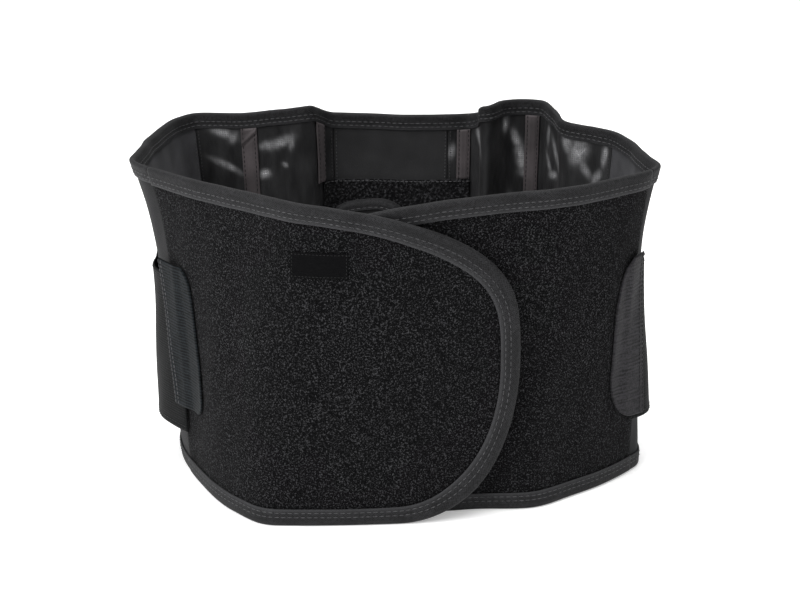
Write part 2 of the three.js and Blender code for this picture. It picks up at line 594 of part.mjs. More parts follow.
// A side pull: its band and its tab. front is the direction in which distances run towards the wing, 1 or -1.
const wingFace = WING_CLOTH / 2 + CLEARANCE;
function pullParts({ front, seam, corner, anchor, pull }) {
  const tabRear = seam - front * pull.rear;
  const bandEnd = tabRear + front * TAB_SEAM;
  const ahead = (place) => (place - corner) * front;
  // The band stands off the belt towards its lower edge, because the belt narrows there and the band doesn't.
  const standOff = (place, height) => {
    const low = 1 - clamp((height - pull.foot) / BAND_HEIGHT, 0, 1);
    const run = ahead(place) > 0 ? ahead(bandEnd) + TAB_RAMP : -BAND_SETTLE;
    return (pull.lift + pull.standOff * low) * (1 - smooth(ahead(place) / run));
  };
  const onBand = (place, height, out) => onBelt(place, height, out + standOff(place, height), TAUT_LOOP);
  const band = clothPiece({
    places: columnsBetween(Math.min(bandEnd, anchor), Math.max(bandEnd, anchor)),
    low: () => pull.foot,
    high: () => pull.foot + BAND_HEIGHT,
    out: wingFace + BAND_CLOTH,
    thickness: BAND_CLOTH,
    surface: onBand,
  });

  // The tab lies on the band's end and comes down to the wing past it.
  const tabStep = (place) => {
    const past = (place - bandEnd) * front - TAB_LEAD;
    return (BAND_CLOTH + CLEARANCE) * (1 - smooth(past / TAB_RAMP));
  };
  const onTab = (place, height, out) => onBand(place, height, out + tabStep(place));
  const cornerHeight = (place, round) => {
    const into = (place - tabRear) * front - (pull.length - pull.round);
    return round * (1 - Math.sqrt(1 - clamp(into / pull.round, 0, 1) ** 2));
  };
  const leaning = (place, height, out) => {
    const up = (height - pull.tabFoot) / pull.tabHeight - 0.5;
    return onTab(place - front * pull.lean * up, height, out);
  };
  const places = [];
  for (let i = 0; i <= TAB_COLUMNS; i++) {
    const share = Math.sin(((i / TAB_COLUMNS) * Math.PI) / 2);
    places.push(tabRear + front * pull.length * share);
  }
  if (front < 0) places.reverse();
  const tab = clothPiece({
    places,
    low: (place) => pull.tabFoot + cornerHeight(place, pull.lowerRound),
    high: (place) => pull.tabFoot + pull.tabHeight - cornerHeight(place, pull.upperRound),
    out: wingFace + TAB_EASE + TAB_CLOTH,
    thickness: TAB_CLOTH,
    surface: leaning,
  });
  return { band, tab };
}

// The label on the outer wing, sewn flat.
const label = clothPiece({
  places: columnsBetween(LABEL_PLACE - LABEL_WIDTH / 2, LABEL_PLACE + LABEL_WIDTH / 2),
  low: () => LABEL_FOOT,
  high: () => LABEL_FOOT + LABEL_HEIGHT,
  out: wingFace + LABEL_CLOTH,
  thickness: LABEL_CLOTH,
});

// Builds the named meshes.
const belt = new THREE.Group();
function addPiece(name, geometry, colour, roughness = 0.9) {
  const material = new THREE.MeshStandardMaterial({ color: colour, roughness, metalness: 0 });
  const mesh = new THREE.Mesh(geometry, material);
  mesh.name = name;
  belt.add(mesh);
  return mesh;
}

const outerWing = wingParts({ tip: -OUTER_WING_REACH, seam: leftSeam - CLEARANCE / 2, side: 1, surface: onBelt });
const innerWing = wingParts({
  tip: GIRTH + INNER_WING_REACH,
  seam: rightSeam + CLEARANCE / 2,
  side: -1,
  surface: onInnerWing,
  extra: rampColumns,
});
addPiece("outer_wing", outerWing.cloth, COLOURS.loopCloth);
addPiece("outer_wing_binding", outerWing.binding, COLOURS.binding);
addPiece("inner_wing", innerWing.cloth, COLOURS.loopCloth);
addPiece("inner_wing_binding", innerWing.binding, COLOURS.binding);
addPiece("left_side_panel", panel(leftSeam, leftBackSeam, SIDE_CLOTH), COLOURS.lining);
addPiece("left_net_panel", panel(leftBackSeam, centreLeftSeam, NET_CLOTH), COLOURS.net, 0.6);
addPiece("centre_panel", panel(centreLeftSeam, centreRightSeam, CENTRE_CLOTH), COLOURS.lining);
addPiece("right_net_panel", panel(centreRightSeam, rightBackSeam, NET_CLOTH), COLOURS.net, 0.6);
addPiece("right_side_panel", panel(rightBackSeam, rightSeam, SIDE_CLOTH), COLOURS.lining);
addPiece("back_top_binding", backBinding(true), COLOURS.binding);
addPiece("back_bottom_binding", backBinding(false), COLOURS.binding);
addPiece("back_loop_patch", patch, COLOURS.loopCloth);
addPiece("lumbar_pad", padGeometry(), COLOURS.lining);
addPiece("lumbar_pad_binding", padBinding(), COLOURS.binding);
addPiece("left_channel", stayChannel(sectionPlace("leftChannel"), channelFoot), COLOURS.channel);
addPiece("left_inner_channel", stayChannel(centreLeftSeam - INNER_CHANNEL_LEFT, innerChannelFoot), COLOURS.channel);
addPiece("right_inner_channel", stayChannel(centreRightSeam + INNER_CHANNEL_RIGHT, innerChannelFoot), COLOURS.channel);
addPiece("right_channel", stayChannel(sectionPlace("rightChannel"), channelFoot), COLOURS.channel);

const leftPull = pullParts({
  front: -1,
  seam: leftSeam,
  corner: sectionPlace("leftCorner"),
  anchor: centreLeftSeam,
  pull: LEFT_PULL,
});
const rightPull = pullParts({
  front: 1,
  seam: rightSeam,
  corner: sectionPlace("rightCorner"),
  anchor: centreRightSeam,
  pull: RIGHT_PULL,
});
addPiece("left_strap", leftPull.band, COLOURS.elastic);
addPiece("left_strap_tab", leftPull.tab, COLOURS.hookTab);
addPiece("right_strap", rightPull.band, COLOURS.elastic);
addPiece("right_strap_tab", rightPull.tab, COLOURS.hookTab);
addPiece("label", label, COLOURS.label);

// The belt's footprint is centred on the origin.
const box = new THREE.Box3().setFromObject(belt);
const middle = box.getCenter(new THREE.Vector3());
for (const mesh of belt.children) mesh.geometry.translate(-middle.x, -middle.y, 0);

export default belt;
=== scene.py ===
"""A lower back support belt, closed at the front and standing on its lower edge on a pale floor."""
import math
from collections import namedtuple

import bmesh
import bpy
import numpy as np
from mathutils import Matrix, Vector


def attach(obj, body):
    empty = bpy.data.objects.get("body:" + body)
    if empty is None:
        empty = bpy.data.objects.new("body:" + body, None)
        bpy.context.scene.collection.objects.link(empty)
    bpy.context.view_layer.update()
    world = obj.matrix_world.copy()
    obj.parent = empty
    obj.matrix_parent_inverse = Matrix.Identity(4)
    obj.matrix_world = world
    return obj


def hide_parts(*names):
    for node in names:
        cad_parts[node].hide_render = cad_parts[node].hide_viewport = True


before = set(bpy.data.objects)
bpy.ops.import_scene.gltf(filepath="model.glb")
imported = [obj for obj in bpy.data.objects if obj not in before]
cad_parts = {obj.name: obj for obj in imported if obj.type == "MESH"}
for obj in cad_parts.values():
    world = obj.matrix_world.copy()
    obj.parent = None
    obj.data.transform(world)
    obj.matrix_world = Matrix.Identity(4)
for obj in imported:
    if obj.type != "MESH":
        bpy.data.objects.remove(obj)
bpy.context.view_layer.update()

MM = 0.001

# The loop's driving sizes in millimetres, the same as the solids have.
BELT_WIDTH = 354
BELT_DEPTH = 244
BELT_HEIGHT = 221
CENTRE_X = 0.93  # the footprint's middle, in the loop's own coordinates
CENTRE_Y = -2.07
WING_CLOTH = 2.6
SIDE_CLOTH = 1.6
NET_CLOTH = 1.2
CHANNEL_CLOTH = 1.6
TAPE_CLOTH = 1.0
CLEARANCE = 0.3
WING_TAPE_WIDTH = 11.5
BACK_TAPE_WIDTH = 10
TAPE_EASE = 0.1  # between a wing's cloth and its tape, past the clearance
EDGE = TAPE_CLOTH + CLEARANCE
OUTER_WING_REACH = 79
INNER_WING_REACH = 112
WING_END_UPPER_LENGTH = 165
WING_END_LOWER_LENGTH = 80
WING_TIP_HEIGHT = 108
WING_END_POWER = 1.8
WING_TIP_POWER = 3.4
OVERLAP_STEP_TOP = 6.2
OVERLAP_STEP_FOOT = 16
OVERLAP_RAMP_TOP = 55
OVERLAP_RAMP_FOOT = 75
OVERLAP_RAMP_PLACE = 40
CHANNEL_WIDTH = 11
INNER_CHANNEL_LEFT = 14
INNER_CHANNEL_RIGHT = 12
PATCH_TOP = 172
PATCH_FOOT = 30
PATCH_CLOTH = 2.0
PATCH_PAST_LEFT_SEAM = 12
PATCH_PAST_RIGHT_SEAM = 18
PAD_WIDTH = 76
PAD_HEIGHT = 124
PAD_TOP = 157
PAD_POWER = 3
PAD_TILT = 6
PAD_THICKNESS = 11
PAD_EDGE = 5
PAD_TAPE_WIDTH = 6
PAD_PLACE = -25
BAND_HEIGHT = 112
BAND_CLOTH = 1.6
TAB_CLOTH = 1.8
TAB_SEAM = 12
TAB_LEAD = 3.5
TAB_RAMP = 9
TAB_EASE = 0.15
BAND_SETTLE = 95
LEFT_PULL = dict(
    foot=34, lift=2.5, stand_off=8, rear=4, length=37, lean=8,
    tab_foot=54, tab_height=103, round=12, upper_round=14, lower_round=12,
)
RIGHT_PULL = dict(
    foot=43, lift=0, stand_off=6, rear=2, length=32, lean=0,
    tab_foot=47, tab_height=117, round=22, upper_round=48, lower_round=38,
)
LABEL_WIDTH = 37
LABEL_HEIGHT = 17
LABEL_CLOTH = 0.6
LABEL_FOOT = 172
LABEL_PLACE = 52
PATCH_FACE = -SIDE_CLOTH / 2 - CLEARANCE
CHANNEL_FACE = -NET_CLOTH / 2 - CLEARANCE
WING_FACE = WING_CLOTH / 2 + CLEARANCE
PAD_BACK = PATCH_FACE - PATCH_CLOTH - CLEARANCE - TAPE_CLOTH - CLEARANCE

# Cloth as it lies, in millimetres.
RIM_SHARE = 0.6  # the share of its thickness over which a cloth's edge is rounded
CLOTH_STEP = 2.6  # between the points of a cloth's mesh
PATH_STEP = 2.2  # and of a tape's
TAPE_FULLEST = 1.16  # how wide the tape lies round a wing's end
TAPE_DRAWN = 0.95  # and along the straight edges
TAPE_FULL_TO = 20  # where it starts to narrow, from the tip, and over what length
TAPE_NARROWS_OVER = 90
WING_PUCKER = 0.14  # how far a tape wavers beside its inner edge
BACK_PUCKER = 0.1
PUCKER_LENGTHS = (9.7, 5.3)
SEAM_CLOTH = 0.4  # the tapes behind the seams between panels
SEAM_WIDTH = 10
SEAM_GAP = 0.15
STAY_SWELL = 0.6  # how far a stay raises its sleeve
SLEEVE_EDGE = 1.8  # the flat edge at each side of the stay
CREASE_DROP = 9  # the crease across the left sleeve: how far under its end, how steep and how deep
CREASE_SLOPE = 0.9
CREASE_DEPTH = 1.1
PAD_CAP = 2.6  # the most that the pad swells
PAD_HELD = 0.9  # the share of the way out where the pad is held while it swells
PAD_FULL_TO = 0.84  # the share of the way out where it starts to thin, and over what share
PAD_THINS_OVER = 0.3
SWELL_FRAMES = 20
SWELL_PRESSURE = 4.0

# Sewing, in millimetres.
STITCH_PITCH = 4.3
STITCH_LENGTH = 3.1
STITCH_THREAD = 0.3  # the thread's half thickness
STITCH_RISE = 0.09  # how far a thread's middle stands off firm cloth
SOFT_STITCH_RISE = 0.1
TAPE_STITCH_RISE = 0.105
PAD_STITCH_RISE = 0.15
STITCH_ROWS = (0.22, 0.5)  # shares of the tape's width, from its inner edge
SEAM_ROW = 1.8  # from a seam to the row at each side
SLEEVE_ROW = 1.6  # from a sleeve's edge
TAB_ROWS = (1.3, 4.4)  # from a tab's rear end
HEM_ROWS = (1.6, 4.2)  # from a band's lower edge
HEM_TOP_ROW = 1.8  # from its upper edge
ANCHOR_ROWS = (2.5, 6, 9.5)  # from a band's rear end
LABEL_ROW = 1.2  # from the label's edge

# Light and view, in metres and degrees. Each lamp has a name, a place, a size and a power.
LAMPS = [
    ("key", (-1.4, -1.4, 1.6), 1.7, 55),
    ("fill", (1.6, -1.0, 1.2), 1.8, 4),
    ("overhead", (0, 0.2, 2.0), 1.8, 42),
]
LIT_POINT = (0, 0, 0.12)
AMBIENT = 0.42  # how brightly the white surroundings light the part, against how the camera sees them
FLOOR_REACH = 4.0
VIEW_PITCH = 19.0
VIEW_DISTANCE = 1.3
VIEW_LENS = 84.08
VIEW_SENSOR = 36
VIEW_CENTRE = (0.00417, -0.00193, 0.11746)  # what the camera looks at, beside the belt's own middle

# The loop's sections, from the front centre round the left side, the back and the right side. The places
# of the edges and how far the cloth draws in are shares of half the belt's size, and height is a share of
# its height. bridged says that the outer bands pass straight over.
Section = namedtuple("Section", "name upper_x upper_y lower_x lower_y height draw bridged")
SECTIONS = [Section(*row) for row in [
    ("front", 0.03, -1.0, 0.03, -0.945, 1, 0, False),
    ("front", -0.32, -0.97, -0.355, -0.97, 1, 0, False),
    ("front", -0.445, -0.86, -0.48, -0.95, 1, 0, False),
    ("front", -0.575, -0.7, -0.58, -0.815, 1, 0, False),
    ("front", -0.69, -0.57, -0.655, -0.67, 1, 0.006, False),
    ("left_seam", -0.91, -0.275, -0.785, -0.28, 1, 0.03, False),
    ("left_corner", -0.99, -0.11, -0.84, -0.03, 1, 0.038, False),
    ("side", -0.985, 0.09, -0.85, 0.2, 1, 0.038, False),
    ("side", -0.96, 0.47, -0.835, 0.555, 1, 0.03, False),
    ("side", -0.895, 0.88, -0.78, 0.82, 1, 0.012, False),
    ("left_back_corner", -0.835, 0.975, -0.725, 0.9, 1.002, 0, False),
    ("back", -0.675, 0.91, -0.6, 0.86, 1.01, 0, True),
    ("left_channel", -0.6, 0.87, -0.545, 0.835, 1.018, 0, True),
    ("back", -0.455, 0.825, -0.425, 0.81, 1.036, 0, True),
    ("left_fold", -0.345, 0.8, -0.32, 0.8, 1.05, 0, True),
    ("back", -0.315, 0.868, -0.3, 0.855, 1.036, 0, True),
    ("back", -0.288, 0.935, -0.275, 0.9, 1.018, 0, True),
    ("centre_left", -0.25, 0.965, -0.24, 0.92, 1.006, 0, False),
    ("back_centre", 0.055, 0.955, 0.055, 0.91, 1, 0, False),
    ("centre_right", 0.23, 0.96, 0.22, 0.915, 1, 0, False),
    ("back", 0.325, 0.965, 0.315, 0.91, 1.003, 0, False),
    ("back", 0.36, 0.9, 0.352, 0.87, 1.018, 0, True),
    ("right_fold", 0.366, 0.82, 0.36, 0.81, 1.043, 0, True),
    ("back", 0.39, 0.786, 0.384, 0.776, 1.052, 0, True),
    ("back", 0.414, 0.82, 0.408, 0.81, 1.054, 0, True),
    ("back", 0.45, 0.9, 0.44, 0.86, 1.054, 0, True),
    ("back", 0.505, 0.95, 0.49, 0.9, 1.052, 0, True),
    ("right_channel", 0.585, 0.965, 0.565, 0.91, 1.05, 0, False),
    ("lobe", 0.63, 0.945, 0.61, 0.89, 1.047, 0, False),
    ("back", 0.658, 0.82, 0.652, 0.785, 1.036, 0, True),
    ("back", 0.69, 0.68, 0.692, 0.68, 1.02, 0, True),
    ("back", 0.76, 0.59, 0.76, 0.6, 1.014, 0, True),
    ("right_back_corner", 0.885, 0.465, 0.875, 0.47, 1.008, 0.012, False),
    ("side", 0.94, 0.275, 0.93, 0.29, 1.002, 0.03, False),
    ("side", 0.983, -0.05, 0.97, 0, 1, 0.042, False),
    ("right_corner", 1.0, -0.227, 0.97, -0.16, 1, 0.044, False),
    ("right_seam", 0.963, -0.325, 0.93, -0.25, 1, 0.03, False),
    ("front", 0.83, -0.495, 0.8, -0.455, 1, 0, False),
    ("front", 0.67, -0.655, 0.64, -0.64, 1, 0, False),
    ("front", 0.52, -0.775, 0.525, -0.785, 1, 0, False),
    ("front", 0.31, -0.915, 0.335, -0.885, 1, 0, False),
]]
STEPS_PER_SECTION = 48
DRAW_CURVE = 27 / 4  # brings the curve by which the cloth draws in up to 1 where it is greatest


def lerp(a, b, share):
    return a + (b - a) * share


def smooth(share):
    share = np.clip(share, 0, 1)
    return share * share * (3 - 2 * share)


# The loop as tables of points against the distance round the belt.
def run_along(points):
    """The distance of each point along a path."""
    return np.concatenate([[0], np.cumsum(np.linalg.norm(np.diff(points, axis=0), axis=1))])


def closed_spline(points, centripetal):
    """Catmull-Rom points through a closed list, STEPS_PER_SECTION between two."""
    points = np.asarray(points, float)
    out = []
    count = len(points)
    for i in range(count):
        p0, p1, p2, p3 = (points[(i + k - 1) % count] for k in range(4))
        if centripetal:
            gaps = [np.linalg.norm(b - a) ** 0.5 for a, b in ((p0, p1), (p1, p2), (p2, p3))]
            d0, d1, d2 = gaps
            t1 = ((p1 - p0) / d0 - (p2 - p0) / (d0 + d1) + (p2 - p1) / d1) * d1
            t2 = ((p2 - p1) / d1 - (p3 - p1) / (d1 + d2) + (p3 - p2) / d2) * d1
        else:
            t1, t2 = (p2 - p0) / 2, (p3 - p1) / 2
        for step in range(STEPS_PER_SECTION):
            t = step / STEPS_PER_SECTION
            c2 = -3 * p1 + 3 * p2 - 2 * t1 - t2
            c3 = 2 * p1 - 2 * p2 + t1 + t2
            out.append(p1 + t1 * t + c2 * t * t + c3 * t**3)
    out.append(out[0])
    return np.array(out)


def bridged(rows):
    """The rows with those that the outer bands pass over set between their neighbours."""
    count = len(rows)
    out = []
    for i, row in enumerate(rows):
        if not row.bridged:
            out.append(row)
            continue
        before, after = i, i
        while rows[before].bridged:
            before -= 1
        while rows[after % count].bridged:
            after += 1
        share = (i - before) / (after - before)
        start, end = rows[before], rows[after % count]
        out.append(row._replace(
            upper_x=lerp(start.upper_x, end.upper_x, share), upper_y=lerp(start.upper_y, end.upper_y, share),
            lower_x=lerp(start.lower_x, end.lower_x, share), lower_y=lerp(start.lower_y, end.lower_y, share),
        ))
    return out


def edge_tables(rows):
    """The upper and the lower edge as tables of points in millimetres."""
    half = np.array([BELT_WIDTH / 2, BELT_DEPTH / 2])
    upper = closed_spline([np.array([row.upper_x, row.upper_y]) * half for row in rows], True)
    lower = closed_spline([np.array([row.lower_x, row.lower_y]) * half for row in rows], True)
    return upper, lower


UPPER, LOWER = edge_tables(SECTIONS)
TAUT_UPPER, TAUT_LOWER = edge_tables(bridged(SECTIONS))
HEIGHTS = closed_spline([(row.height * BELT_HEIGHT, row.draw * BELT_WIDTH / 2) for row in SECTIONS], False)
DISTANCES = run_along((UPPER + LOWER) / 2)
GIRTH = DISTANCES[-1]


def section_place(name):
    """The distance round the belt of the first section of this name."""
    row = [section.name for section in SECTIONS].index(name)
    return DISTANCES[row * STEPS_PER_SECTION]


def past_section(places, name, ahead):
    """Signed distances round the belt from the place that lies ahead of a section."""
    return np.mod(places - section_place(name) - ahead + GIRTH / 2, GIRTH) - GIRTH / 2


def looked_up(table, places):
    """A table's row at each distance round the belt."""
    round_belt = np.mod(places, GIRTH)
    return np.stack([np.interp(round_belt, DISTANCES, table[:, k]) for k in range(table.shape[1])], axis=-1)


def top_height(places):
    return looked_up(HEIGHTS, places)[..., 0]


def cloth_middle(places, heights, taut):
    """Points of the cloth's middle, seen from above. taut bridges the folds, as the outer bands do."""
    upper = looked_up(TAUT_UPPER if taut else UPPER, places)
    lower = looked_up(TAUT_LOWER if taut else LOWER, places)
    tops = looked_up(HEIGHTS, places)
    share = heights / tops[..., 0]
    point = lower + (upper - lower) * share[..., None]
    inside = np.clip(share, 0, 1)
    draw = DRAW_CURVE * inside * inside * (1 - inside) * tops[..., 1]
    point[..., 0] -= draw * np.sign(upper[..., 0])
    return point


# Soft folds that run through every layer alike, in millimetres: the section beside, how far ahead of it,
# the height, how far out, and how long and how tall.
FOLDS = [
    ("left_seam", -60, 120, 1.2, 30, 90),
    ("left_seam", -24, 60, -1.0, 18, 60),
    ("left_seam", -120, 60, 0.9, 44, 40),
    ("left_corner", 44, 170, 1.6, 20, 50),
    ("left_corner", 80, 90, -1.5, 26, 70),
    ("left_channel", -16, 190, 1.6, 7, 40),
    ("left_channel", 16, 165, 1.8, 8, 50),
    ("left_channel", 28, 195, -1.2, 6, 30),
    ("back_centre", -26, 190, 1.0, 20, 50),
    ("back_centre", 14, 120, -0.9, 26, 60),
    ("right_channel", -12, 180, 1.3, 6, 45),
    ("right_back_corner", -52, 190, 1.8, 8, 45),
    ("right_back_corner", -34, 170, -1.6, 7, 60),
    ("right_back_corner", -18, 195, 1.6, 6, 40),
    ("right_back_corner", 26, 120, 1.6, 20, 80),
    ("right_corner", -26, 60, -1.3, 18, 60),
    ("right_seam", 42, 120, 1.2, 30, 80),
    ("right_seam", 80, 50, -0.9, 30, 50),
]
WAVES = [(83, 140, 0.35, 0.4), (41, 190, 0.25, 2.1), (27, 66, 0.18, 4.0)]  # length, height, depth and start


FLAT_FOOT = 30  # the height up to which the folds fade, so that the lower edge stands as the solids do


def wrinkles(places, heights):
    """How far the cloth bulges out at distances and heights."""
    out = np.zeros(np.broadcast(places, heights).shape)
    for name, ahead, height, depth, length, tall in FOLDS:
        off = past_section(places, name, ahead)
        out = out + depth * np.exp(-((off / length) ** 2) - ((heights - height) / tall) ** 2)
    for length, tall, depth, start in WAVES:
        turns = round(GIRTH / length)
        out = out + depth * np.sin(2 * math.pi * (turns * places / GIRTH + heights / tall) + start)
    return out * smooth(heights / FLAT_FOOT)


PROBE = 0.8  # half the length over which the belt's direction is measured, in millimetres


def on_belt(places, heights, out, taut=False):
    """Points in metres at distances round the belt, heights, and distances out of the cloth's middle."""
    places, heights, out = np.broadcast_arrays(np.asarray(places, float), np.asarray(heights, float), out)
    middle = cloth_middle(places, heights, taut)
    along = cloth_middle(places + PROBE, heights, taut) - cloth_middle(places - PROBE, heights, taut)
    along /= np.linalg.norm(along, axis=-1, keepdims=True)
    outwards = np.stack([-along[..., 1], along[..., 0]], axis=-1)
    flat = middle + outwards * (out + wrinkles(places, heights))[..., None]
    flat = flat - np.array([CENTRE_X, CENTRE_Y])
    return np.concatenate([flat, heights[..., None]], axis=-1) * MM


def on_band(places, heights, out):
    """Points of a band, which passes over the folds."""
    return on_belt(places, heights, out, taut=True)


RAMP_START = -OUTER_WING_REACH - OVERLAP_RAMP_PLACE


def on_inner_wing(places, heights, out):
    """Points of the inner wing, which steps in behind the outer one."""
    past = places - GIRTH - RAMP_START
    share = np.clip(heights / BELT_HEIGHT, 0, 1)
    top = OVERLAP_STEP_TOP * smooth(past / OVERLAP_RAMP_TOP)
    foot = OVERLAP_STEP_FOOT * smooth(past / OVERLAP_RAMP_FOOT)
    return on_belt(places, heights, out - lerp(foot, top, share))


# Mesh building.
def new_object(name, mesh):
    obj = bpy.data.objects.new(name, mesh)
    bpy.context.scene.collection.objects.link(obj)
    return obj


def mesh_object(name, points, faces, uvs=None, shares=None):
    """A smooth closed mesh, with a UV for each point in metres of cloth.

    shares are named values from 0 to 1, one for each point.
    """
    mesh = bpy.data.meshes.new(name)
    mesh.from_pydata([tuple(p) for p in points], [], faces)
    mesh.validate()
    if uvs is not None:
        layer = mesh.uv_layers.new(name="cloth")
        corner_points = np.empty(len(mesh.loops), dtype=np.int32)
        mesh.loops.foreach_get("vertex_index", corner_points)
        layer.data.foreach_set("uv", np.asarray(uvs, dtype=np.float32)[corner_points].ravel())
    for key, values in (shares or {}).items():
        attribute = mesh.attributes.new(key, "FLOAT", "POINT")
        attribute.data.foreach_set("value", np.asarray(values, dtype=np.float32).ravel())
    mesh.polygons.foreach_set("use_smooth", [True] * len(mesh.polygons))
    obj = new_object(name, mesh)
    turn_faces_out(obj)
    return obj


def closed_faces(shape):
    """The faces of a closed mesh made of two grids of points, with a rim between them."""
    index = np.arange(shape[0] * shape[1]).reshape(shape)
    second = index.size
    quads = np.stack([index[:-1, :-1], index[1:, :-1], index[1:, 1:], index[:-1, 1:]], axis=-1).reshape(-1, 4)
    rim = np.concatenate([index[:, 0], index[-1, 1:], index[-2::-1, -1], index[0, -2:0:-1]])
    turn = np.roll(rim, -1)
    edge = np.stack([rim, turn, turn + second, rim + second], axis=-1)
    return np.concatenate([quads + second, quads[:, ::-1], edge]).tolist()


def two_sided(name, places, heights, sides, shares=None):
    """A piece of cloth from the points of its two faces, each a grid of places and heights."""
    points = np.concatenate([side.reshape(-1, 3) for side in sides])
    uv = np.stack([places, heights], axis=-1).reshape(-1, 2) * MM
    return mesh_object(name, points, closed_faces(places.shape), np.concatenate([uv, uv]), shares)


def turn_faces_out(obj):
    """Turns all faces of a closed mesh outwards."""
    work = bmesh.new()
    work.from_mesh(obj.data)
    bmesh.ops.recalc_face_normals(work, faces=work.faces)
    work.to_mesh(obj.data)
    work.free()


def grid_places(start, end, step):
    count = max(2, int(math.ceil(abs(end - start) / step)) + 1)
    return np.linspace(start, end, count)


def rounded_shares(length, thickness, step):
    """Distances across a piece of cloth, close together at both ends where its edge is rounded."""
    rim = min(thickness * RIM_SHARE, length / 4)
    ends = np.array([0.0, 0.12, 0.4, 1.0]) * rim
    inner = grid_places(rim, length - rim, step)
    return np.concatenate([ends[:-1], inner, length - ends[:-1][::-1]])


def rim_scale(distance, thickness):
    """How much of the thickness is left at a distance from the cloth's edge."""
    rim = thickness * RIM_SHARE
    near = np.clip(1 - distance / rim, 0, 1)
    return np.sqrt(np.clip(1 - near * near, 0.05, 1))


def cloth_sheet(
    name, start, end, low, high, out, thickness, surface, step=CLOTH_STEP, swell=None, shares=None,
):
    """A closed sheet between two distances and two heights, which may be functions of the distance.

    out is the outer face's place. swell gives how far the inner face stands further in, and shares the named
    values from 0 to 1 that its material reads, both from places and heights.
    """
    across = rounded_shares(abs(end - start), thickness, step)
    places = start + np.sign(end - start) * across
    low = low(places) if callable(low) else np.full(len(places), float(low))
    high = high(places) if callable(high) else np.full(len(places), float(high))
    tall = float(np.max(high - low))
    up = rounded_shares(tall, thickness, step) / tall
    heights = low[:, None] + (high - low)[:, None] * up[None, :]
    grid = np.repeat(places[:, None], len(up), axis=1)
    edge_across = np.minimum(across, abs(end - start) - across)[:, None]
    edge_up = np.minimum(heights - low[:, None], high[:, None] - heights)
    scale = rim_scale(edge_across, thickness) * rim_scale(edge_up, thickness)
    middle = out - thickness / 2
    inner = middle - thickness / 2 * scale - (swell(grid, heights) * scale if swell else 0.0)
    sides = [surface(grid, heights, inner), surface(grid, heights, middle + thickness / 2 * scale)]
    values = {key: np.concatenate([share(grid, heights)] * 2) for key, share in (shares or {}).items()}
    return two_sided(name, grid, heights, sides, values)


def tape_section(cloth, width, ease=0.0, points_round=7, roll=0.25):
    """Tape folded over an edge: across over the edge and out away from the wearer, with a rounded fold.

    roll is how far the tape's inner edges round out, in millimetres.
    """
    inner = cloth / 2 + CLEARANCE + ease
    outer = inner + TAPE_CLOTH
    fold = EDGE - outer
    section = []
    for across in np.linspace(-width, fold, 7):
        section.append((across, outer))
    for angle in np.linspace(math.pi / 2, -math.pi / 2, points_round + 2)[1:-1]:
        section.append((fold + outer * math.cos(angle), outer * math.sin(angle)))
    for across in np.linspace(fold, -width, 7):
        section.append((across, -outer))
    section.append((-width - roll, -(inner + TAPE_CLOTH * 0.5)))
    section.append((-width, -inner))
    section.append((CLEARANCE, -inner))
    section.append((CLEARANCE, inner))
    section.append((-width, inner))
    section.append((-width - roll, inner + TAPE_CLOTH * 0.5))
    return np.array(section)


def tape_path(places, heights, closed=False, upright=0):
    """A path and its direction at each point.

    upright, 1 or -1, keeps the tape's section upright all along the path.
    """
    track = np.stack([places, heights], axis=-1)
    if closed:
        ahead = np.roll(track, -1, axis=0) - np.roll(track, 1, axis=0)
    else:
        ahead = np.gradient(track, axis=0)
    if upright:
        ahead = np.tile([-float(upright), 0.0], (len(track), 1))
    ahead /= np.linalg.norm(ahead, axis=1, keepdims=True)
    return track, ahead


def swept(name, track, ahead, section, surface, closed=False, pucker=0.0, fullness=1.0):
    """The section swept along the track.

    pucker is how far the tape wavers beside its inner edge, in millimetres, and fullness how wide it lies
    at each point.
    """
    count, size = len(track), len(section)
    across = section[:, 0][None, :]
    fullness = np.broadcast_to(fullness, count)[:, None]
    across = np.where(across < 0, across * fullness, across)
    out = section[:, 1][None, :]
    run = run_along(track)[:, None]
    long_wave, short_wave = (2 * math.pi * run / length for length in PUCKER_LENGTHS)
    waver = np.sin(long_wave) + 0.6 * np.sin(short_wave + 1.3)
    inner_edge = np.clip(section[:, 0][None, :] / section[:, 0].min(), 0, 1)
    out = out + np.sign(out) * pucker * waver * np.clip(1 - np.abs(inner_edge - 0.75) * 4, 0, 1)
    places = track[:, 0:1] + ahead[:, 1:2] * across
    heights = track[:, 1:2] - ahead[:, 0:1] * across
    points = surface(places, heights, out).reshape(-1, 3)
    around = run_along(section)[None, :]
    uv = np.stack([np.broadcast_to(run, places.shape), np.broadcast_to(around, places.shape)], axis=-1)
    index = np.arange(count * size).reshape(count, size)
    here = index if closed else index[:-1]
    there = np.roll(index, -1, axis=0) if closed else index[1:]
    turn = np.roll(here, -1, axis=1)
    there_turn = np.roll(there, -1, axis=1)
    faces = np.stack([here, there, there_turn, turn], axis=-1).reshape(-1, 4).tolist()
    if not closed:
        faces.append(index[0].tolist()[::-1])
        faces.append(index[-1].tolist())
    # How strongly the tape's colour is lightened at each point: a painted highlight along its turned-up inner
    # edge.
    inner_edge_painted_highlight = np.broadcast_to(inner_edge**6, places.shape)
    return mesh_object(name, points, faces, uv.reshape(-1, 2) * MM, {"inner_edge_painted_highlight": inner_edge_painted_highlight})


# Colours and nodes.
def linear(colour):
    """A hexadecimal sRGB colour as linear red, green, blue and alpha."""
    parts = [((colour >> shift) & 255) / 255 for shift in (16, 8, 0)]
    return [c / 12.92 if c <= 0.04045 else ((c + 0.055) / 1.055) ** 2.4 for c in parts] + [1.0]


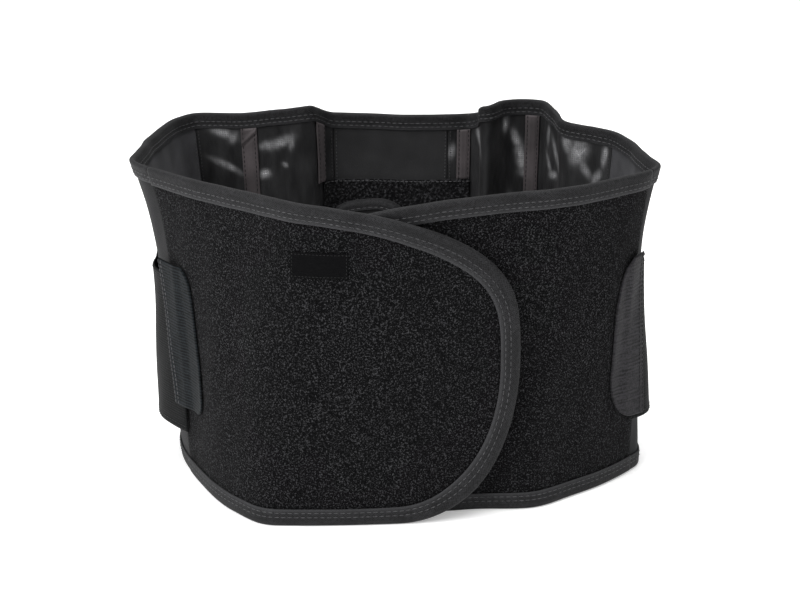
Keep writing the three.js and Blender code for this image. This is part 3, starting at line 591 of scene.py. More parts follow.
def add(tree, kind, wires=None, stops=None, **settings):
    """Adds a node. Each wire goes to an input by its name or number, and is another node's socket or a value.

    stops are a colour ramp's places and its hexadecimal colours or grey values.
    """
    node = tree.nodes.new(kind)
    for key, value in settings.items():
        setattr(node, key, value)
    for key, value in (wires or {}).items():
        if isinstance(value, bpy.types.NodeSocket):
            tree.links.new(value, node.inputs[key])
        else:
            node.inputs[key].default_value = value
    for i, (place, colour) in enumerate(stops or []):
        elements = node.color_ramp.elements
        if i >= len(elements):
            elements.new(place)
        elements[i].position = place
        elements[i].color = linear(colour) if isinstance(colour, int) else (colour,) * 3 + (1,)
    return node


# Stitches: a thread lies on the cloth at each point of a row.
def stitch_nodes():
    """The node group that puts a stitch at every pitch of the rows."""
    tree = bpy.data.node_groups.new("stitch_rows", "GeometryNodeTree")
    face = tree.interface
    face.new_socket("Rows", in_out="INPUT", socket_type="NodeSocketGeometry")
    for name, value in (("Pitch", STITCH_PITCH), ("Length", STITCH_LENGTH), ("Thread", STITCH_THREAD)):
        socket = face.new_socket(name, in_out="INPUT", socket_type="NodeSocketFloat")
        socket.default_value = value * MM
    face.new_socket("Material", in_out="INPUT", socket_type="NodeSocketMaterial")
    face.new_socket("Stitches", in_out="OUTPUT", socket_type="NodeSocketGeometry")
    given = add(tree, "NodeGroupInput").outputs
    curve = add(tree, "GeometryNodeMeshToCurve", {0: given["Rows"]})
    points = add(tree, "GeometryNodeResampleCurve", {"Curve": curve.outputs[0], "Length": given["Pitch"]},
                 mode="LENGTH")
    thread = add(tree, "GeometryNodeMeshUVSphere", {"Segments": 8, "Rings": 6, "Radius": 1.0})
    tangent = add(tree, "GeometryNodeInputTangent")
    turned = add(tree, "FunctionNodeAlignRotationToVector", {"Vector": tangent.outputs[0]}, axis="Z")
    half = add(tree, "ShaderNodeMath", {0: given["Length"], 1: 0.5}, operation="MULTIPLY")
    size = add(tree, "ShaderNodeCombineXYZ",
               {"X": given["Thread"], "Y": given["Thread"], "Z": half.outputs[0]})
    stitches = add(tree, "GeometryNodeInstanceOnPoints", {
        "Points": points.outputs[0], "Instance": thread.outputs["Mesh"], "Rotation": turned.outputs[0],
        "Scale": size.outputs[0],
    })
    realized = add(tree, "GeometryNodeRealizeInstances", {0: stitches.outputs[0]})
    coloured = add(tree, "GeometryNodeSetMaterial", {
        "Geometry": realized.outputs[0], "Material": given["Material"],
    })
    add(tree, "NodeGroupOutput", {0: coloured.outputs[0]})
    return tree


STITCHES = stitch_nodes()


def stitched(name, rows, material, length=STITCH_LENGTH, pitch=STITCH_PITCH, thread=STITCH_THREAD):
    """One piece with stitches along several rows, each a list of points in metres."""
    mesh = bpy.data.meshes.new(name + "_rows")
    points, edges = [], []
    for row in rows:
        first = len(points)
        points += [tuple(p) for p in row]
        edges += [(first + i, first + i + 1) for i in range(len(row) - 1)]
    mesh.from_pydata(points, edges, [])
    source = new_object(name + "_rows", mesh)
    modifier = source.modifiers.new("stitches", "NODES")
    modifier.node_group = STITCHES
    values = {"Pitch": pitch * MM, "Length": length * MM, "Thread": thread * MM, "Material": material}
    for item in STITCHES.interface.items_tree:
        if item.item_type == "SOCKET" and item.name in values:
            modifier[item.identifier] = values[item.name]
    bpy.context.view_layer.update()
    seen = source.evaluated_get(bpy.context.evaluated_depsgraph_get())
    made = bpy.data.meshes.new_from_object(seen)
    bpy.data.objects.remove(source)
    made.polygons.foreach_set("use_smooth", [True] * len(made.polygons))
    return new_object(name, made)


def row_on(surface, track, ahead, across, out):
    """Points of a stitch row beside a path."""
    places = track[:, 0] + ahead[:, 1] * across
    heights = track[:, 1] - ahead[:, 0] * across
    return surface(places, heights, out)


# Materials.
def started(name):
    """A new material and its node tree."""
    material = bpy.data.materials.new(name)
    material.use_nodes = True
    return material, material.node_tree


def surfaced(material, wires):
    """Sets the sockets of the material's surface shader."""
    tree = material.node_tree
    shader = tree.nodes["Principled BSDF"]
    for key, value in wires.items():
        if isinstance(value, bpy.types.NodeSocket):
            tree.links.new(value, shader.inputs[key])
        else:
            shader.inputs[key].default_value = value
    return material


def cloth_repeats(tree, along, up):
    """The cloth's own coordinates, in repeats of a length along it and a length up it in millimetres."""
    cloth = add(tree, "ShaderNodeUVMap", uv_map="cloth")
    scale = (1 / (along * MM), 1 / (up * MM), 1)
    return add(tree, "ShaderNodeMapping", {"Vector": cloth.outputs["UV"], "Scale": scale}).outputs[0]


def body_repeats(tree, size):
    """Object coordinates in repeats of a size in millimetres."""
    place = add(tree, "ShaderNodeTexCoord")
    scale = (1 / (size * MM),) * 3
    return add(tree, "ShaderNodeMapping", {"Vector": place.outputs["Object"], "Scale": scale}).outputs[0]


def ridges(tree, repeats):
    """A smooth rise and fall, once in each repeat."""
    turned = add(tree, "ShaderNodeMath", {0: repeats, 1: 2 * math.pi}, operation="MULTIPLY")
    return add(tree, "ShaderNodeMath", {0: turned.outputs[0]}, operation="SINE").outputs[0]


def crossing_threads(tree, along, up):
    """The height of a plain weave, from -0.5 to 1.5, with threads at these spacings in millimetres."""
    parts = add(tree, "ShaderNodeSeparateXYZ", {0: cloth_repeats(tree, along, up)})
    warp, weft = (ridges(tree, parts.outputs[axis]) for axis in ("X", "Y"))
    return add(tree, "ShaderNodeMath", {0: warp, 1: weft, 2: 0.5}, operation="MULTIPLY_ADD").outputs[0]


def loop_pile(name, deep, loops, tips, grain):
    """Brushed nylon loop pile: matt, near black between the loops, with pale tips where they catch the light.

    The real loops are about 0.7 mm. They are drawn at the grain's size, because finer ones don't show.
    """
    material, tree = started(name)
    place = body_repeats(tree, grain)
    pile = add(tree, "ShaderNodeTexNoise", {"Vector": place, "Scale": 1.0, "Detail": 2.0, "Roughness": 0.7})
    curls = add(tree, "ShaderNodeTexVoronoi", {"Vector": place, "Scale": 1.3})
    brushed = add(tree, "ShaderNodeTexNoise", {"Vector": body_repeats(tree, 52), "Scale": 1.0, "Detail": 2.0})
    tone = add(tree, "ShaderNodeValToRGB", {0: pile.outputs[0]},
               stops=[(0.4, deep), (0.53, loops), (0.66, tips)])
    share = add(tree, "ShaderNodeMath", {0: brushed.outputs[0], 1: 0.5}, operation="MULTIPLY")
    mixed = add(tree, "ShaderNodeMix", {0: share.outputs[0], 6: tone.outputs[0], 7: linear(loops)},
                data_type="RGBA")
    height = add(tree, "ShaderNodeMath", {0: pile.outputs[0], 1: curls.outputs["Distance"]},
                 operation="SUBTRACT")
    bump = add(tree, "ShaderNodeBump", {"Height": height.outputs[0], "Distance": 0.9 * MM, "Strength": 0.8})
    return surfaced(material, {
        "Base Color": mixed.outputs[2], "Roughness": 0.95, "Normal": bump.outputs[0],
        "Specular IOR Level": 0.06, "Sheen Weight": 0.015, "Sheen Roughness": 0.5,
    })


def binding_weave(name, deep, face, edge_highlight_tone):
    """Polyester binding tape: a firm plain weave, slightly shiny, with a painted highlight that makes it
    paler along its turned-up inner edge.
    """
    material, tree = started(name)
    weave = crossing_threads(tree, 1.7, 1.5)
    fuzz = add(tree, "ShaderNodeTexNoise",
               {"Vector": body_repeats(tree, 1.4), "Scale": 1.0, "Roughness": 0.7})
    drawn = add(tree, "ShaderNodeTexNoise",
                {"Vector": cloth_repeats(tree, 21, 3.2), "Scale": 1.0, "Detail": 2.0})
    height = add(tree, "ShaderNodeMath", {0: weave, 1: 0.22, 2: fuzz.outputs[0]}, operation="MULTIPLY_ADD")
    tone = add(tree, "ShaderNodeValToRGB", {0: height.outputs[0]}, stops=[(0.38, deep), (0.78, face)])
    streaks = add(tree, "ShaderNodeMix", {0: drawn.outputs[0], 6: linear(deep), 7: tone.outputs[0]},
                  data_type="RGBA")
    # Painted highlight: the colour is lightened along the tape's inner edge.
    edge = add(tree, "ShaderNodeAttribute", attribute_name="inner_edge_painted_highlight")
    share = add(tree, "ShaderNodeMath", {0: edge.outputs["Fac"], 1: 0.55}, operation="MULTIPLY")
    mixed = add(tree, "ShaderNodeMix", {0: share.outputs[0], 6: streaks.outputs[2], 7: linear(edge_highlight_tone)},
                data_type="RGBA")
    bump = add(tree, "ShaderNodeBump", {"Height": height.outputs[0], "Distance": 0.4 * MM, "Strength": 0.8})
    return surfaced(material, {
        "Base Color": mixed.outputs[2], "Roughness": 0.72, "Normal": bump.outputs[0],
        "Specular IOR Level": 0.2, "Sheen Weight": 0.03, "Sheen Roughness": 0.45,
    })


def brushed_knit(name, deep, face, specular=0.25, roughness=0.6):
    """Brushed polyester knit: smooth and slightly shiny, with soft clouds where the nap lies differently."""
    material, tree = started(name)
    knit = crossing_threads(tree, 1.1, 1.1)
    nap = add(tree, "ShaderNodeTexNoise", {"Vector": body_repeats(tree, 26), "Scale": 1.0, "Detail": 3.0})
    fuzz = add(tree, "ShaderNodeTexNoise",
               {"Vector": body_repeats(tree, 1.2), "Scale": 1.0, "Roughness": 0.6})
    tone = add(tree, "ShaderNodeValToRGB", {0: nap.outputs[0]}, stops=[(0.32, deep), (0.7, face)])
    share = add(tree, "ShaderNodeMath", {0: fuzz.outputs[0], 1: 0.4}, operation="MULTIPLY")
    mixed = add(tree, "ShaderNodeMix", {0: share.outputs[0], 6: tone.outputs[0], 7: linear(deep)},
                data_type="RGBA")
    height = add(tree, "ShaderNodeMath", {0: knit, 1: 0.3, 2: fuzz.outputs[0]}, operation="MULTIPLY_ADD")
    bump = add(tree, "ShaderNodeBump", {"Height": height.outputs[0], "Distance": 0.16 * MM, "Strength": 0.7})
    return surfaced(material, {
        "Base Color": mixed.outputs[2], "Roughness": roughness, "Normal": bump.outputs[0],
        "Specular IOR Level": specular, "Sheen Weight": 0.03,
    })


def knitted_net(name, deep, face, glint_tone):
    """Two layers of fine knitted net: dark and shiny, with strokes of painted glint where its colour is
    lightened, and see-through where its holes line up.

    The attribute that it reads gives each place's share of painted glint, and the holes open only within
    those strokes. The real holes are about
    0.8 mm, and they are drawn larger, because such small ones don't show.
    """
    material, tree = started(name)
    holes = add(tree, "ShaderNodeTexVoronoi", {
        "Vector": cloth_repeats(tree, 1.6, 1.6), "Scale": 1.0, "Randomness": 0.2,
    })
    see_through_and_painted_glint = add(tree, "ShaderNodeAttribute", attribute_name="see_through_and_painted_glint")
    ripples = add(tree, "ShaderNodeTexNoise",
                  {"Vector": cloth_repeats(tree, 9, 30), "Scale": 1.0, "Detail": 3.0})
    broken = add(tree, "ShaderNodeTexNoise",
                 {"Vector": cloth_repeats(tree, 4.2, 6), "Scale": 1.0, "Detail": 3.0})
    streaks = add(tree, "ShaderNodeMath", {0: broken.outputs[0], 1: 1.7}, operation="MULTIPLY")
    painted_glint_mask = add(tree, "ShaderNodeMath", {0: see_through_and_painted_glint.outputs["Fac"], 1: streaks.outputs[0]},
                  operation="MULTIPLY", use_clamp=True)
    tone = add(tree, "ShaderNodeValToRGB", {0: ripples.outputs[0]}, stops=[(0.35, deep), (0.72, face)])
    # Painted glint: the colour is lightened towards the glint tone along the strokes.
    mixed = add(tree, "ShaderNodeMix", {0: painted_glint_mask.outputs[0], 6: tone.outputs[0], 7: linear(glint_tone)},
                data_type="RGBA")
    hole = add(tree, "ShaderNodeValToRGB", {0: holes.outputs["Distance"]}, stops=[(0.25, 1.0), (0.5, 0.0)])
    open_hole = add(tree, "ShaderNodeMath", {0: hole.outputs[0], 1: painted_glint_mask.outputs[0]}, operation="MULTIPLY")
    alpha = add(tree, "ShaderNodeMath", {0: open_hole.outputs[0], 1: -0.55, 2: 1.0}, operation="MULTIPLY_ADD")
    folds = add(tree, "ShaderNodeBump", {"Height": ripples.outputs[0], "Distance": 1.6 * MM, "Strength": 0.7})
    bump = add(tree, "ShaderNodeBump", {
        "Height": holes.outputs["Distance"], "Distance": 0.2 * MM, "Strength": 0.5,
        "Normal": folds.outputs[0],
    })
    return surfaced(material, {
        "Base Color": mixed.outputs[2], "Roughness": 0.4, "Normal": bump.outputs[0],
        "Alpha": alpha.outputs[0], "Specular IOR Level": 0.35, "Sheen Weight": 0.02,
    })


def ribbed_elastic(name, deep, face, rib, depth, specular=0.25):
    """Woven elastic: covered rubber cords lie along it as ribs, with fine picks across and uneven streaks."""
    material, tree = started(name)
    parts = add(tree, "ShaderNodeSeparateXYZ", {0: cloth_repeats(tree, 1.2, rib)})
    ribs = ridges(tree, parts.outputs["Y"])
    streaks = add(tree, "ShaderNodeTexNoise", {
        "Vector": cloth_repeats(tree, 14, 1.3), "Scale": 1.0, "Detail": 3.0, "Roughness": 0.65,
    })
    picks = add(tree, "ShaderNodeTexNoise",
                {"Vector": body_repeats(tree, 1.3), "Scale": 1.0, "Roughness": 0.7})
    uneven = add(tree, "ShaderNodeMath", {0: streaks.outputs[0], 1: picks.outputs[0]}, operation="ADD")
    height = add(tree, "ShaderNodeMath", {0: ribs, 1: depth, 2: uneven.outputs[0]}, operation="MULTIPLY_ADD")
    tone = add(tree, "ShaderNodeMath", {0: height.outputs[0], 1: 0.5}, operation="MULTIPLY")
    colour = add(tree, "ShaderNodeValToRGB", {0: tone.outputs[0]}, stops=[(0.41, deep), (0.59, face)])
    bump = add(tree, "ShaderNodeBump", {"Height": height.outputs[0], "Distance": 0.4 * MM, "Strength": 0.7})
    return surfaced(material, {
        "Base Color": colour.outputs[0], "Roughness": 0.66, "Normal": bump.outputs[0],
        "Specular IOR Level": specular, "Sheen Weight": 0.03,
    })


def spun_thread(name, deep, face):
    """Spun polyester thread: soft, with a twist that breaks its shine."""
    material, tree = started(name)
    twist = add(tree, "ShaderNodeTexNoise", {"Vector": body_repeats(tree, 0.6), "Scale": 1.0, "Detail": 2.0})
    tone = add(tree, "ShaderNodeValToRGB", {0: twist.outputs[0]}, stops=[(0.35, deep), (0.65, face)])
    bump = add(tree, "ShaderNodeBump", {"Height": twist.outputs[0], "Distance": 0.1 * MM, "Strength": 0.5})
    return surfaced(material, {
        "Base Color": tone.outputs[0], "Roughness": 0.55, "Normal": bump.outputs[0],
        "Specular IOR Level": 0.3,
    })


def label_satin(name, deep, face):
    """Woven satin label: fine smooth floats with a soft shine, and no print."""
    material, tree = started(name)
    floats = crossing_threads(tree, 1.4, 0.7)
    uneven = add(tree, "ShaderNodeTexNoise",
                 {"Vector": cloth_repeats(tree, 5, 1.0), "Scale": 1.0, "Detail": 2.0})
    height = add(tree, "ShaderNodeMath", {0: floats, 1: 0.3, 2: uneven.outputs[0]}, operation="MULTIPLY_ADD")
    tone = add(tree, "ShaderNodeValToRGB", {0: height.outputs[0]}, stops=[(0.35, deep), (0.85, face)])
    bump = add(tree, "ShaderNodeBump", {"Height": height.outputs[0], "Distance": 0.12 * MM, "Strength": 0.6})
    return surfaced(material, {
        "Base Color": tone.outputs[0], "Roughness": 0.5, "Normal": bump.outputs[0],
        "Specular IOR Level": 0.04, "Sheen Weight": 0.0,
    })


def studio_paper(name):
    """White background paper, matt, with a faint grain."""
    material, tree = started(name)
    fibres = add(tree, "ShaderNodeTexNoise", {"Vector": body_repeats(tree, 3), "Scale": 1.0, "Detail": 2.0})
    tone = add(tree, "ShaderNodeValToRGB", {0: fibres.outputs[0]}, stops=[(0.3, 0xF6F6F6), (0.7, 0xFBFBFB)])
    bump = add(tree, "ShaderNodeBump", {"Height": fibres.outputs[0], "Distance": 0.05 * MM, "Strength": 0.3})
    return surfaced(material, {
        "Base Color": tone.outputs[0], "Roughness": 0.95, "Normal": bump.outputs[0],
        "Specular IOR Level": 0.05, "Emission Color": (1, 1, 1, 1), "Emission Strength": 0.3,
    })


WING_PILE = loop_pile("nylon_loop_pile", 0x020203, 0x09090A, 0x434345, 1.05)
PATCH_PILE = loop_pile("polyester_loop_pile", 0x050506, 0x161617, 0x3C3C3E, 1.9)
# The tape's third tone is its painted highlight along the inner edge.
TAPE = binding_weave("polyester_binding_tape", 0x040405, 0x323234, 0x424244)
# The side panels' knit in two copies: the lighter one on their inner faces, and a darker one on their outer
# faces that is painted shade.
LINING = brushed_knit("brushed_knit_lining", 0x303032, 0x4A4A4D)
OUTER_FACE_PAINTED_SHADE = brushed_knit("brushed_knit_painted_shade", 0x141415, 0x222224, 0.12, 0.75)
CENTRE_LINING = brushed_knit("brushed_knit_back", 0x202021, 0x2C2C2D, 0.15, 0.75)
SEAM_TAPE = brushed_knit("seam_tape", 0x101011, 0x1C1C1D, 0.15, 0.75)
# The net's third tone is the colour of its painted glints.
NET = knitted_net("knitted_net", 0x161617, 0x2A2A2B, 0x8A8A8C)
CHANNEL = brushed_knit("stay_channel_sleeve", 0x383435, 0x4E484A)
ELASTIC = ribbed_elastic("woven_elastic", 0x020303, 0x0E0F10, 1.8, 0.2, 0.06)
LEFT_TAB = ribbed_elastic("elastic_tab_blue_grey", 0x010202, 0x1C2023, 2.1, 0.2, 0.06)
RIGHT_TAB = ribbed_elastic("elastic_tab_lilac_grey", 0x0E0D0F, 0x2B2A2D, 2.6, 0.08, 0.15)
PAD_CLOTH = brushed_knit("pad_cover_knit", 0x161617, 0x262627, 0.12, 0.8)
DARK_THREAD = spun_thread("black_thread", 0x060607, 0x121213)
GREY_THREAD = spun_thread("grey_thread", 0x222223, 0x525254)
LABEL_SATIN = label_satin("woven_label_satin", 0x020203, 0x070708)
PAPER = studio_paper("studio_paper")


# Giving pieces their materials and bodies.
def placed(obj, material, node=None):
    """Gives a piece its material and body, and hides the solid that it stands for."""
    if not obj.data.materials:
        obj.data.materials.append(material)
    if node:
        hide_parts(node)
    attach(obj, "root")
    return obj


def sewn(name, rows, material, slot, **sizes):
    """A piece of stitches, which stands for no solid."""
    return placed(stitched(name, rows, material, **sizes), material)


def declared(obj):
    """Hands a sheet back as it is."""
    return obj


# Wings.
def wing_upper(from_tip, top):
    left = np.clip(1 - from_tip / WING_END_UPPER_LENGTH, 0, 1)
    share = (1 - left**WING_END_POWER) ** (1 / WING_TIP_POWER)
    return lerp(WING_TIP_HEIGHT, top - EDGE, share)


def wing_lower(from_tip):
    left = np.clip(1 - from_tip / WING_END_LOWER_LENGTH, 0, 1)
    return lerp(WING_TIP_HEIGHT, EDGE, np.sqrt(1 - left * left))


def end_lengths(step):
    """Lengths from a wing's tip, close together at the tip."""
    count = int(WING_END_UPPER_LENGTH * 1.4 / step)
    angles = (np.arange(count) + 0.25) / count * math.pi / 2
    return WING_END_UPPER_LENGTH * (1 - np.cos(angles))


def even_path(track, step):
    """The track resampled at an even step."""
    run = run_along(track)
    at = np.linspace(0, run[-1], int(run[-1] / step) + 1)
    return np.stack([np.interp(at, run, track[:, k]) for k in range(2)], axis=-1)


def wing(name, tip, seam, side, surface):
    """A wing's cloth, binding and stitches. side is the direction in which distances run from its tip."""
    straight = grid_places(WING_END_UPPER_LENGTH, abs(seam - tip), CLOTH_STEP)
    lengths = np.concatenate([end_lengths(CLOTH_STEP), straight[1:]])
    places = tip + side * lengths
    low, high = wing_lower(lengths), wing_upper(lengths, top_height(places))
    shares = np.linspace(0, 1, int(BELT_HEIGHT / CLOTH_STEP))
    heights = low[:, None] + (high - low)[:, None] * shares
    grid = np.repeat(places[:, None], len(shares), axis=1)
    sides = [surface(grid, heights, out) for out in (-WING_CLOTH / 2, WING_CLOTH / 2)]
    cloth = two_sided(name + "_cloth", grid, heights, sides)
    placed(cloth, WING_PILE, name)
    declared(cloth)

    upper = np.stack([places, high], axis=-1)[::-1]
    lower = np.stack([places, low], axis=-1)
    tip_point = np.array([[tip, WING_TIP_HEIGHT]])
    track = even_path(np.concatenate([upper, tip_point, lower]), PATH_STEP)
    if side < 0:
        track = track[::-1]
    track, ahead = tape_path(track[:, 0], track[:, 1])
    section = tape_section(WING_CLOTH, WING_TAPE_WIDTH, TAPE_EASE)
    narrowed = smooth((np.abs(track[:, 0] - tip) - TAPE_FULL_TO) / TAPE_NARROWS_OVER)
    fullness = lerp(TAPE_FULLEST, TAPE_DRAWN, narrowed)
    binding = swept(name + "_edge_tape", track, ahead, section, surface, pucker=WING_PUCKER,
                    fullness=fullness)
    placed(binding, TAPE, name + "_binding")
    declared(binding)
    width = WING_TAPE_WIDTH * fullness
    stitch_tape(name + "_edge_stitches", track, ahead, WING_CLOTH, TAPE_EASE, surface, width)


def stitch_tape(name, track, ahead, cloth, ease, surface, width):
    """Stitch rows along both faces of a binding."""
    out = cloth / 2 + CLEARANCE + ease + TAPE_CLOTH + TAPE_STITCH_RISE
    rows = []
    for share in STITCH_ROWS:
        for face in (out, -out):
            rows.append(row_on(surface, track, ahead, -width * (1 - share), face))
    sewn(name, rows, GREY_THREAD, "binding_tape")


left_seam = section_place("left_seam")
right_seam = section_place("right_seam")
left_back = section_place("left_back_corner")
right_back = section_place("right_back_corner")
centre_left = section_place("centre_left")
centre_right = section_place("centre_right")

wing("outer_wing", -OUTER_WING_REACH, left_seam - CLEARANCE / 2, 1, on_belt)
wing("inner_wing", GIRTH + INNER_WING_REACH, right_seam + CLEARANCE / 2, -1, on_inner_wing)


# The sides and back.
# Where the net is lightened in strokes as painted glints and its holes are opened, in millimetres and
# degrees: the section beside, how far ahead of it, the height, half length and half width, the angle by which
# the stroke rises, and how brightly.
PAINTED_GLINTS = [
    ("left_back_corner", 19, 208, 9, 3.4, -18, 0.8),
    ("left_back_corner", 26, 205, 5, 3, 60, 0.6),
    ("left_back_corner", 20, 183, 11, 2.4, -24, 0.7),
    ("left_channel", 12, 201, 6, 3, 20, 0.7),
    ("left_channel", 22, 204, 10, 3.2, 30, 0.75),
    ("left_channel", 30, 205, 6, 2, 80, 0.6),
    ("left_channel", 9, 179, 4, 3, 20, 0.95),
    ("left_channel", 24, 187, 2, 2, 0, 0.6),
    ("centre_right", 3, 193, 5, 2.4, 80, 0.85),
    ("right_fold", -9, 207, 7, 2.4, -70, 0.75),
    ("right_fold", -4, 201, 8, 2.2, -70, 0.7),
    ("right_channel", -21, 215, 6, 2.8, 84, 0.85),
    ("right_channel", -12, 203, 8, 2.8, -70, 0.8),
    ("right_channel", -8, 190, 12, 3.4, -80, 0.8),
    ("right_channel", -4, 178, 5, 4, 20, 0.6),
    ("lobe", 9, 208, 7, 2.2, 80, 0.7),
    ("lobe", 19, 199, 9, 2.0, -70, 0.6),
    ("lobe", 11, 187, 8, 2.2, -60, 0.7),
    ("lobe", 18, 180, 6, 2.6, 10, 0.7),
    ("lobe", 24, 192, 7, 1.8, -70, 0.6),
    ("right_back_corner", -36, 209, 8, 4.5, -60, 0.75),
    ("right_back_corner", -27, 204, 9, 6, 70, 0.95),
    ("right_back_corner", -22, 192, 7, 2.6, -60, 0.6),
    ("right_back_corner", -12, 187, 6, 2.6, 60, 0.75),
    ("right_back_corner", -6, 204, 8, 2.2, 84, 0.9),
    ("right_back_corner", 3, 192, 6, 1.8, 80, 0.45),
    ("left_back_corner", 12, 110, 12, 4, 70, 0.6),
    ("left_back_corner", 26, 60, 10, 4, -60, 0.55),
    ("left_channel", 20, 130, 14, 4, 70, 0.6),
    ("left_channel", 14, 70, 10, 3, 60, 0.6),
    ("right_channel", -14, 150, 12, 3, -80, 0.6),
    ("right_channel", -18, 90, 14, 3, 80, 0.6),
    ("lobe", 14, 130, 14, 3, 80, 0.6),
    ("lobe", 20, 70, 10, 4, -70, 0.6),
    ("right_back_corner", -24, 140, 14, 5, 70, 0.7),
    ("right_back_corner", -18, 80, 12, 4, -70, 0.6),
]


def see_through_and_painted_glint(places, heights):
    """How strongly a place is lightened as a painted glint and opened to let light through, from 0 to 1."""
    light = np.zeros(np.broadcast(places, heights).shape)
    for name, ahead, height, half_length, half_width, rise, strength in PAINTED_GLINTS:
        off = past_section(places, name, ahead)
        up = heights - height
        turn = math.radians(rise)
        along = (off * math.cos(turn) + up * math.sin(turn)) / half_length
        across = (up * math.cos(turn) - off * math.sin(turn)) / half_width
        light = np.maximum(light, strength * np.exp(-((along**2 + across**2) ** 1.3)))
    return light


def panel(name, start, end, thickness, material, shares=None):
    """One panel of the sides and back, between two seams."""
    start = start + CLEARANCE / 2
    end = end - CLEARANCE / 2
    obj = cloth_sheet(
        name + "_cloth", start, end, EDGE, lambda places: top_height(places) - EDGE,
        thickness / 2, thickness, on_belt, step=1.8, shares=shares,
    )
    placed(obj, material, name)
    return declared(obj)


def shade_outer_faces(obj, material):
    """Gives the side of a panel that looks away from the middle of the loop a darker copy of its knit, as
    painted shade.
    """
    obj.data.materials.append(material)
    for face in obj.data.polygons:
        if face.normal.x * face.center.x + face.normal.y * face.center.y > 0:
            face.material_index = 1


left_side = panel("left_side_panel", left_seam, left_back, SIDE_CLOTH, LINING)
# The net panels carry the painted glint strokes, and their holes open there.
panel("left_net_panel", left_back, centre_left, NET_CLOTH, NET, {"see_through_and_painted_glint": see_through_and_painted_glint})
panel("centre_panel", centre_left, centre_right, SIDE_CLOTH, CENTRE_LINING)
panel("right_net_panel", centre_right, right_back, NET_CLOTH, NET, {"see_through_and_painted_glint": see_through_and_painted_glint})
right_side = panel("right_side_panel", right_back, right_seam, SIDE_CLOTH, LINING)
# The side panels' outer faces get the darker copy: painted shade.
shade_outer_faces(left_side, OUTER_FACE_PAINTED_SHADE)
shade_outer_faces(right_side, OUTER_FACE_PAINTED_SHADE)


def seam_tape(name, place, out, tape, stitch_out):
    """A narrow tape over a seam between two panels, and the two stitch rows that hold it."""
    foot = EDGE + tape + CLEARANCE

    def head(places):
        return top_height(places) - EDGE - tape - CLEARANCE

    start, end = place - SEAM_WIDTH / 2, place + SEAM_WIDTH / 2
    obj = cloth_sheet(name + "_seam_tape", start, end, foot, head, out, SEAM_CLOTH, on_belt, step=1.2)
    placed(obj, SEAM_TAPE)
    tall = float(head(place)) - foot
    declared(obj)
    heights = np.arange(foot + 1, foot + tall - 1, 3)
    rows = [on_belt(place + side, heights, stitch_out) for side in (-SEAM_ROW, SEAM_ROW)]
    sewn(name + "_seam_stitches", rows, GREY_THREAD, "lining_cloth", pitch=2.6, length=1.5, thread=0.25)


back_seam_out = SIDE_CLOTH / 2 + SEAM_GAP + SEAM_CLOTH
back_stitch_out = -SIDE_CLOTH / 2 - SOFT_STITCH_RISE
seam_tape("left_back", left_back, back_seam_out, BACK_TAPE_WIDTH, back_stitch_out)
seam_tape("centre_left", centre_left, back_seam_out, BACK_TAPE_WIDTH, back_stitch_out)
seam_tape("centre_right", centre_right, back_seam_out, BACK_TAPE_WIDTH, back_stitch_out)
seam_tape("right_back", right_back, back_seam_out, BACK_TAPE_WIDTH, back_stitch_out)
wing_seam_out = -WING_CLOTH / 2 - SEAM_GAP
wing_stitch_out = wing_seam_out - SEAM_CLOTH - SOFT_STITCH_RISE
seam_tape("left_wing", left_seam, wing_seam_out, WING_TAPE_WIDTH, wing_stitch_out)
seam_tape("right_wing", right_seam, wing_seam_out, WING_TAPE_WIDTH, wing_stitch_out)


def back_binding(name, is_top):
    """The binding of the sides' and back's upper or lower edge."""
    places = grid_places(left_seam + CLEARANCE / 2, right_seam - CLEARANCE / 2, PATH_STEP)
    heights = top_height(places) - EDGE if is_top else np.full(len(places), EDGE)
    if is_top:
        places, heights = places[::-1], heights[::-1]
    track, ahead = tape_path(places, heights, upright=1 if is_top else -1)
    section = tape_section(SIDE_CLOTH, BACK_TAPE_WIDTH)
    obj = swept(name + "_tape", track, ahead, section, on_belt, pucker=BACK_PUCKER)
    placed(obj, TAPE, name)
    declared(obj)
    stitch_tape(name + "_stitches", track, ahead, SIDE_CLOTH, 0, on_belt, BACK_TAPE_WIDTH)


back_binding("back_top_binding", True)
back_binding("back_bottom_binding", False)


def stay_channel(name, centre, foot, creased=False):
    """A sleeve with a stay in it: a low rounded ridge between two sewn edges."""
    start, end = centre - CHANNEL_WIDTH / 2, centre + CHANNEL_WIDTH / 2

    def high(places):
        return top_height(places) - EDGE - BACK_TAPE_WIDTH - CLEARANCE

    def swell(places, heights):
        from_edge = CHANNEL_WIDTH / 2 - np.abs(places - centre)
        ridge = STAY_SWELL * smooth((from_edge - SLEEVE_EDGE) / SLEEVE_EDGE)
        if not creased:
            return ridge
        rise = heights - high(places) + CREASE_DROP - (places - centre) * CREASE_SLOPE
        return ridge + CREASE_DEPTH * (np.exp(-((rise - 2) ** 2) / 3) - 0.8 * np.exp(-(rise**2) / 1.6))

    obj = cloth_sheet(
        name + "_sleeve", start, end, foot, high, CHANNEL_FACE, CHANNEL_CLOTH, on_belt, step=0.9, swell=swell,
    )
    placed(obj, CHANNEL, name)
    tall = float(high(centre)) - foot
    declared(obj)
    heights = grid_places(foot + 1, foot + tall - 1, 4)
    out = CHANNEL_FACE - CHANNEL_CLOTH - STITCH_RISE
    rows = [on_belt(place, heights, out) for place in (start + SLEEVE_ROW, end - SLEEVE_ROW)]
    sewn(name + "_stitches", rows, DARK_THREAD, "channel_tape", pitch=3.4, length=2.5)


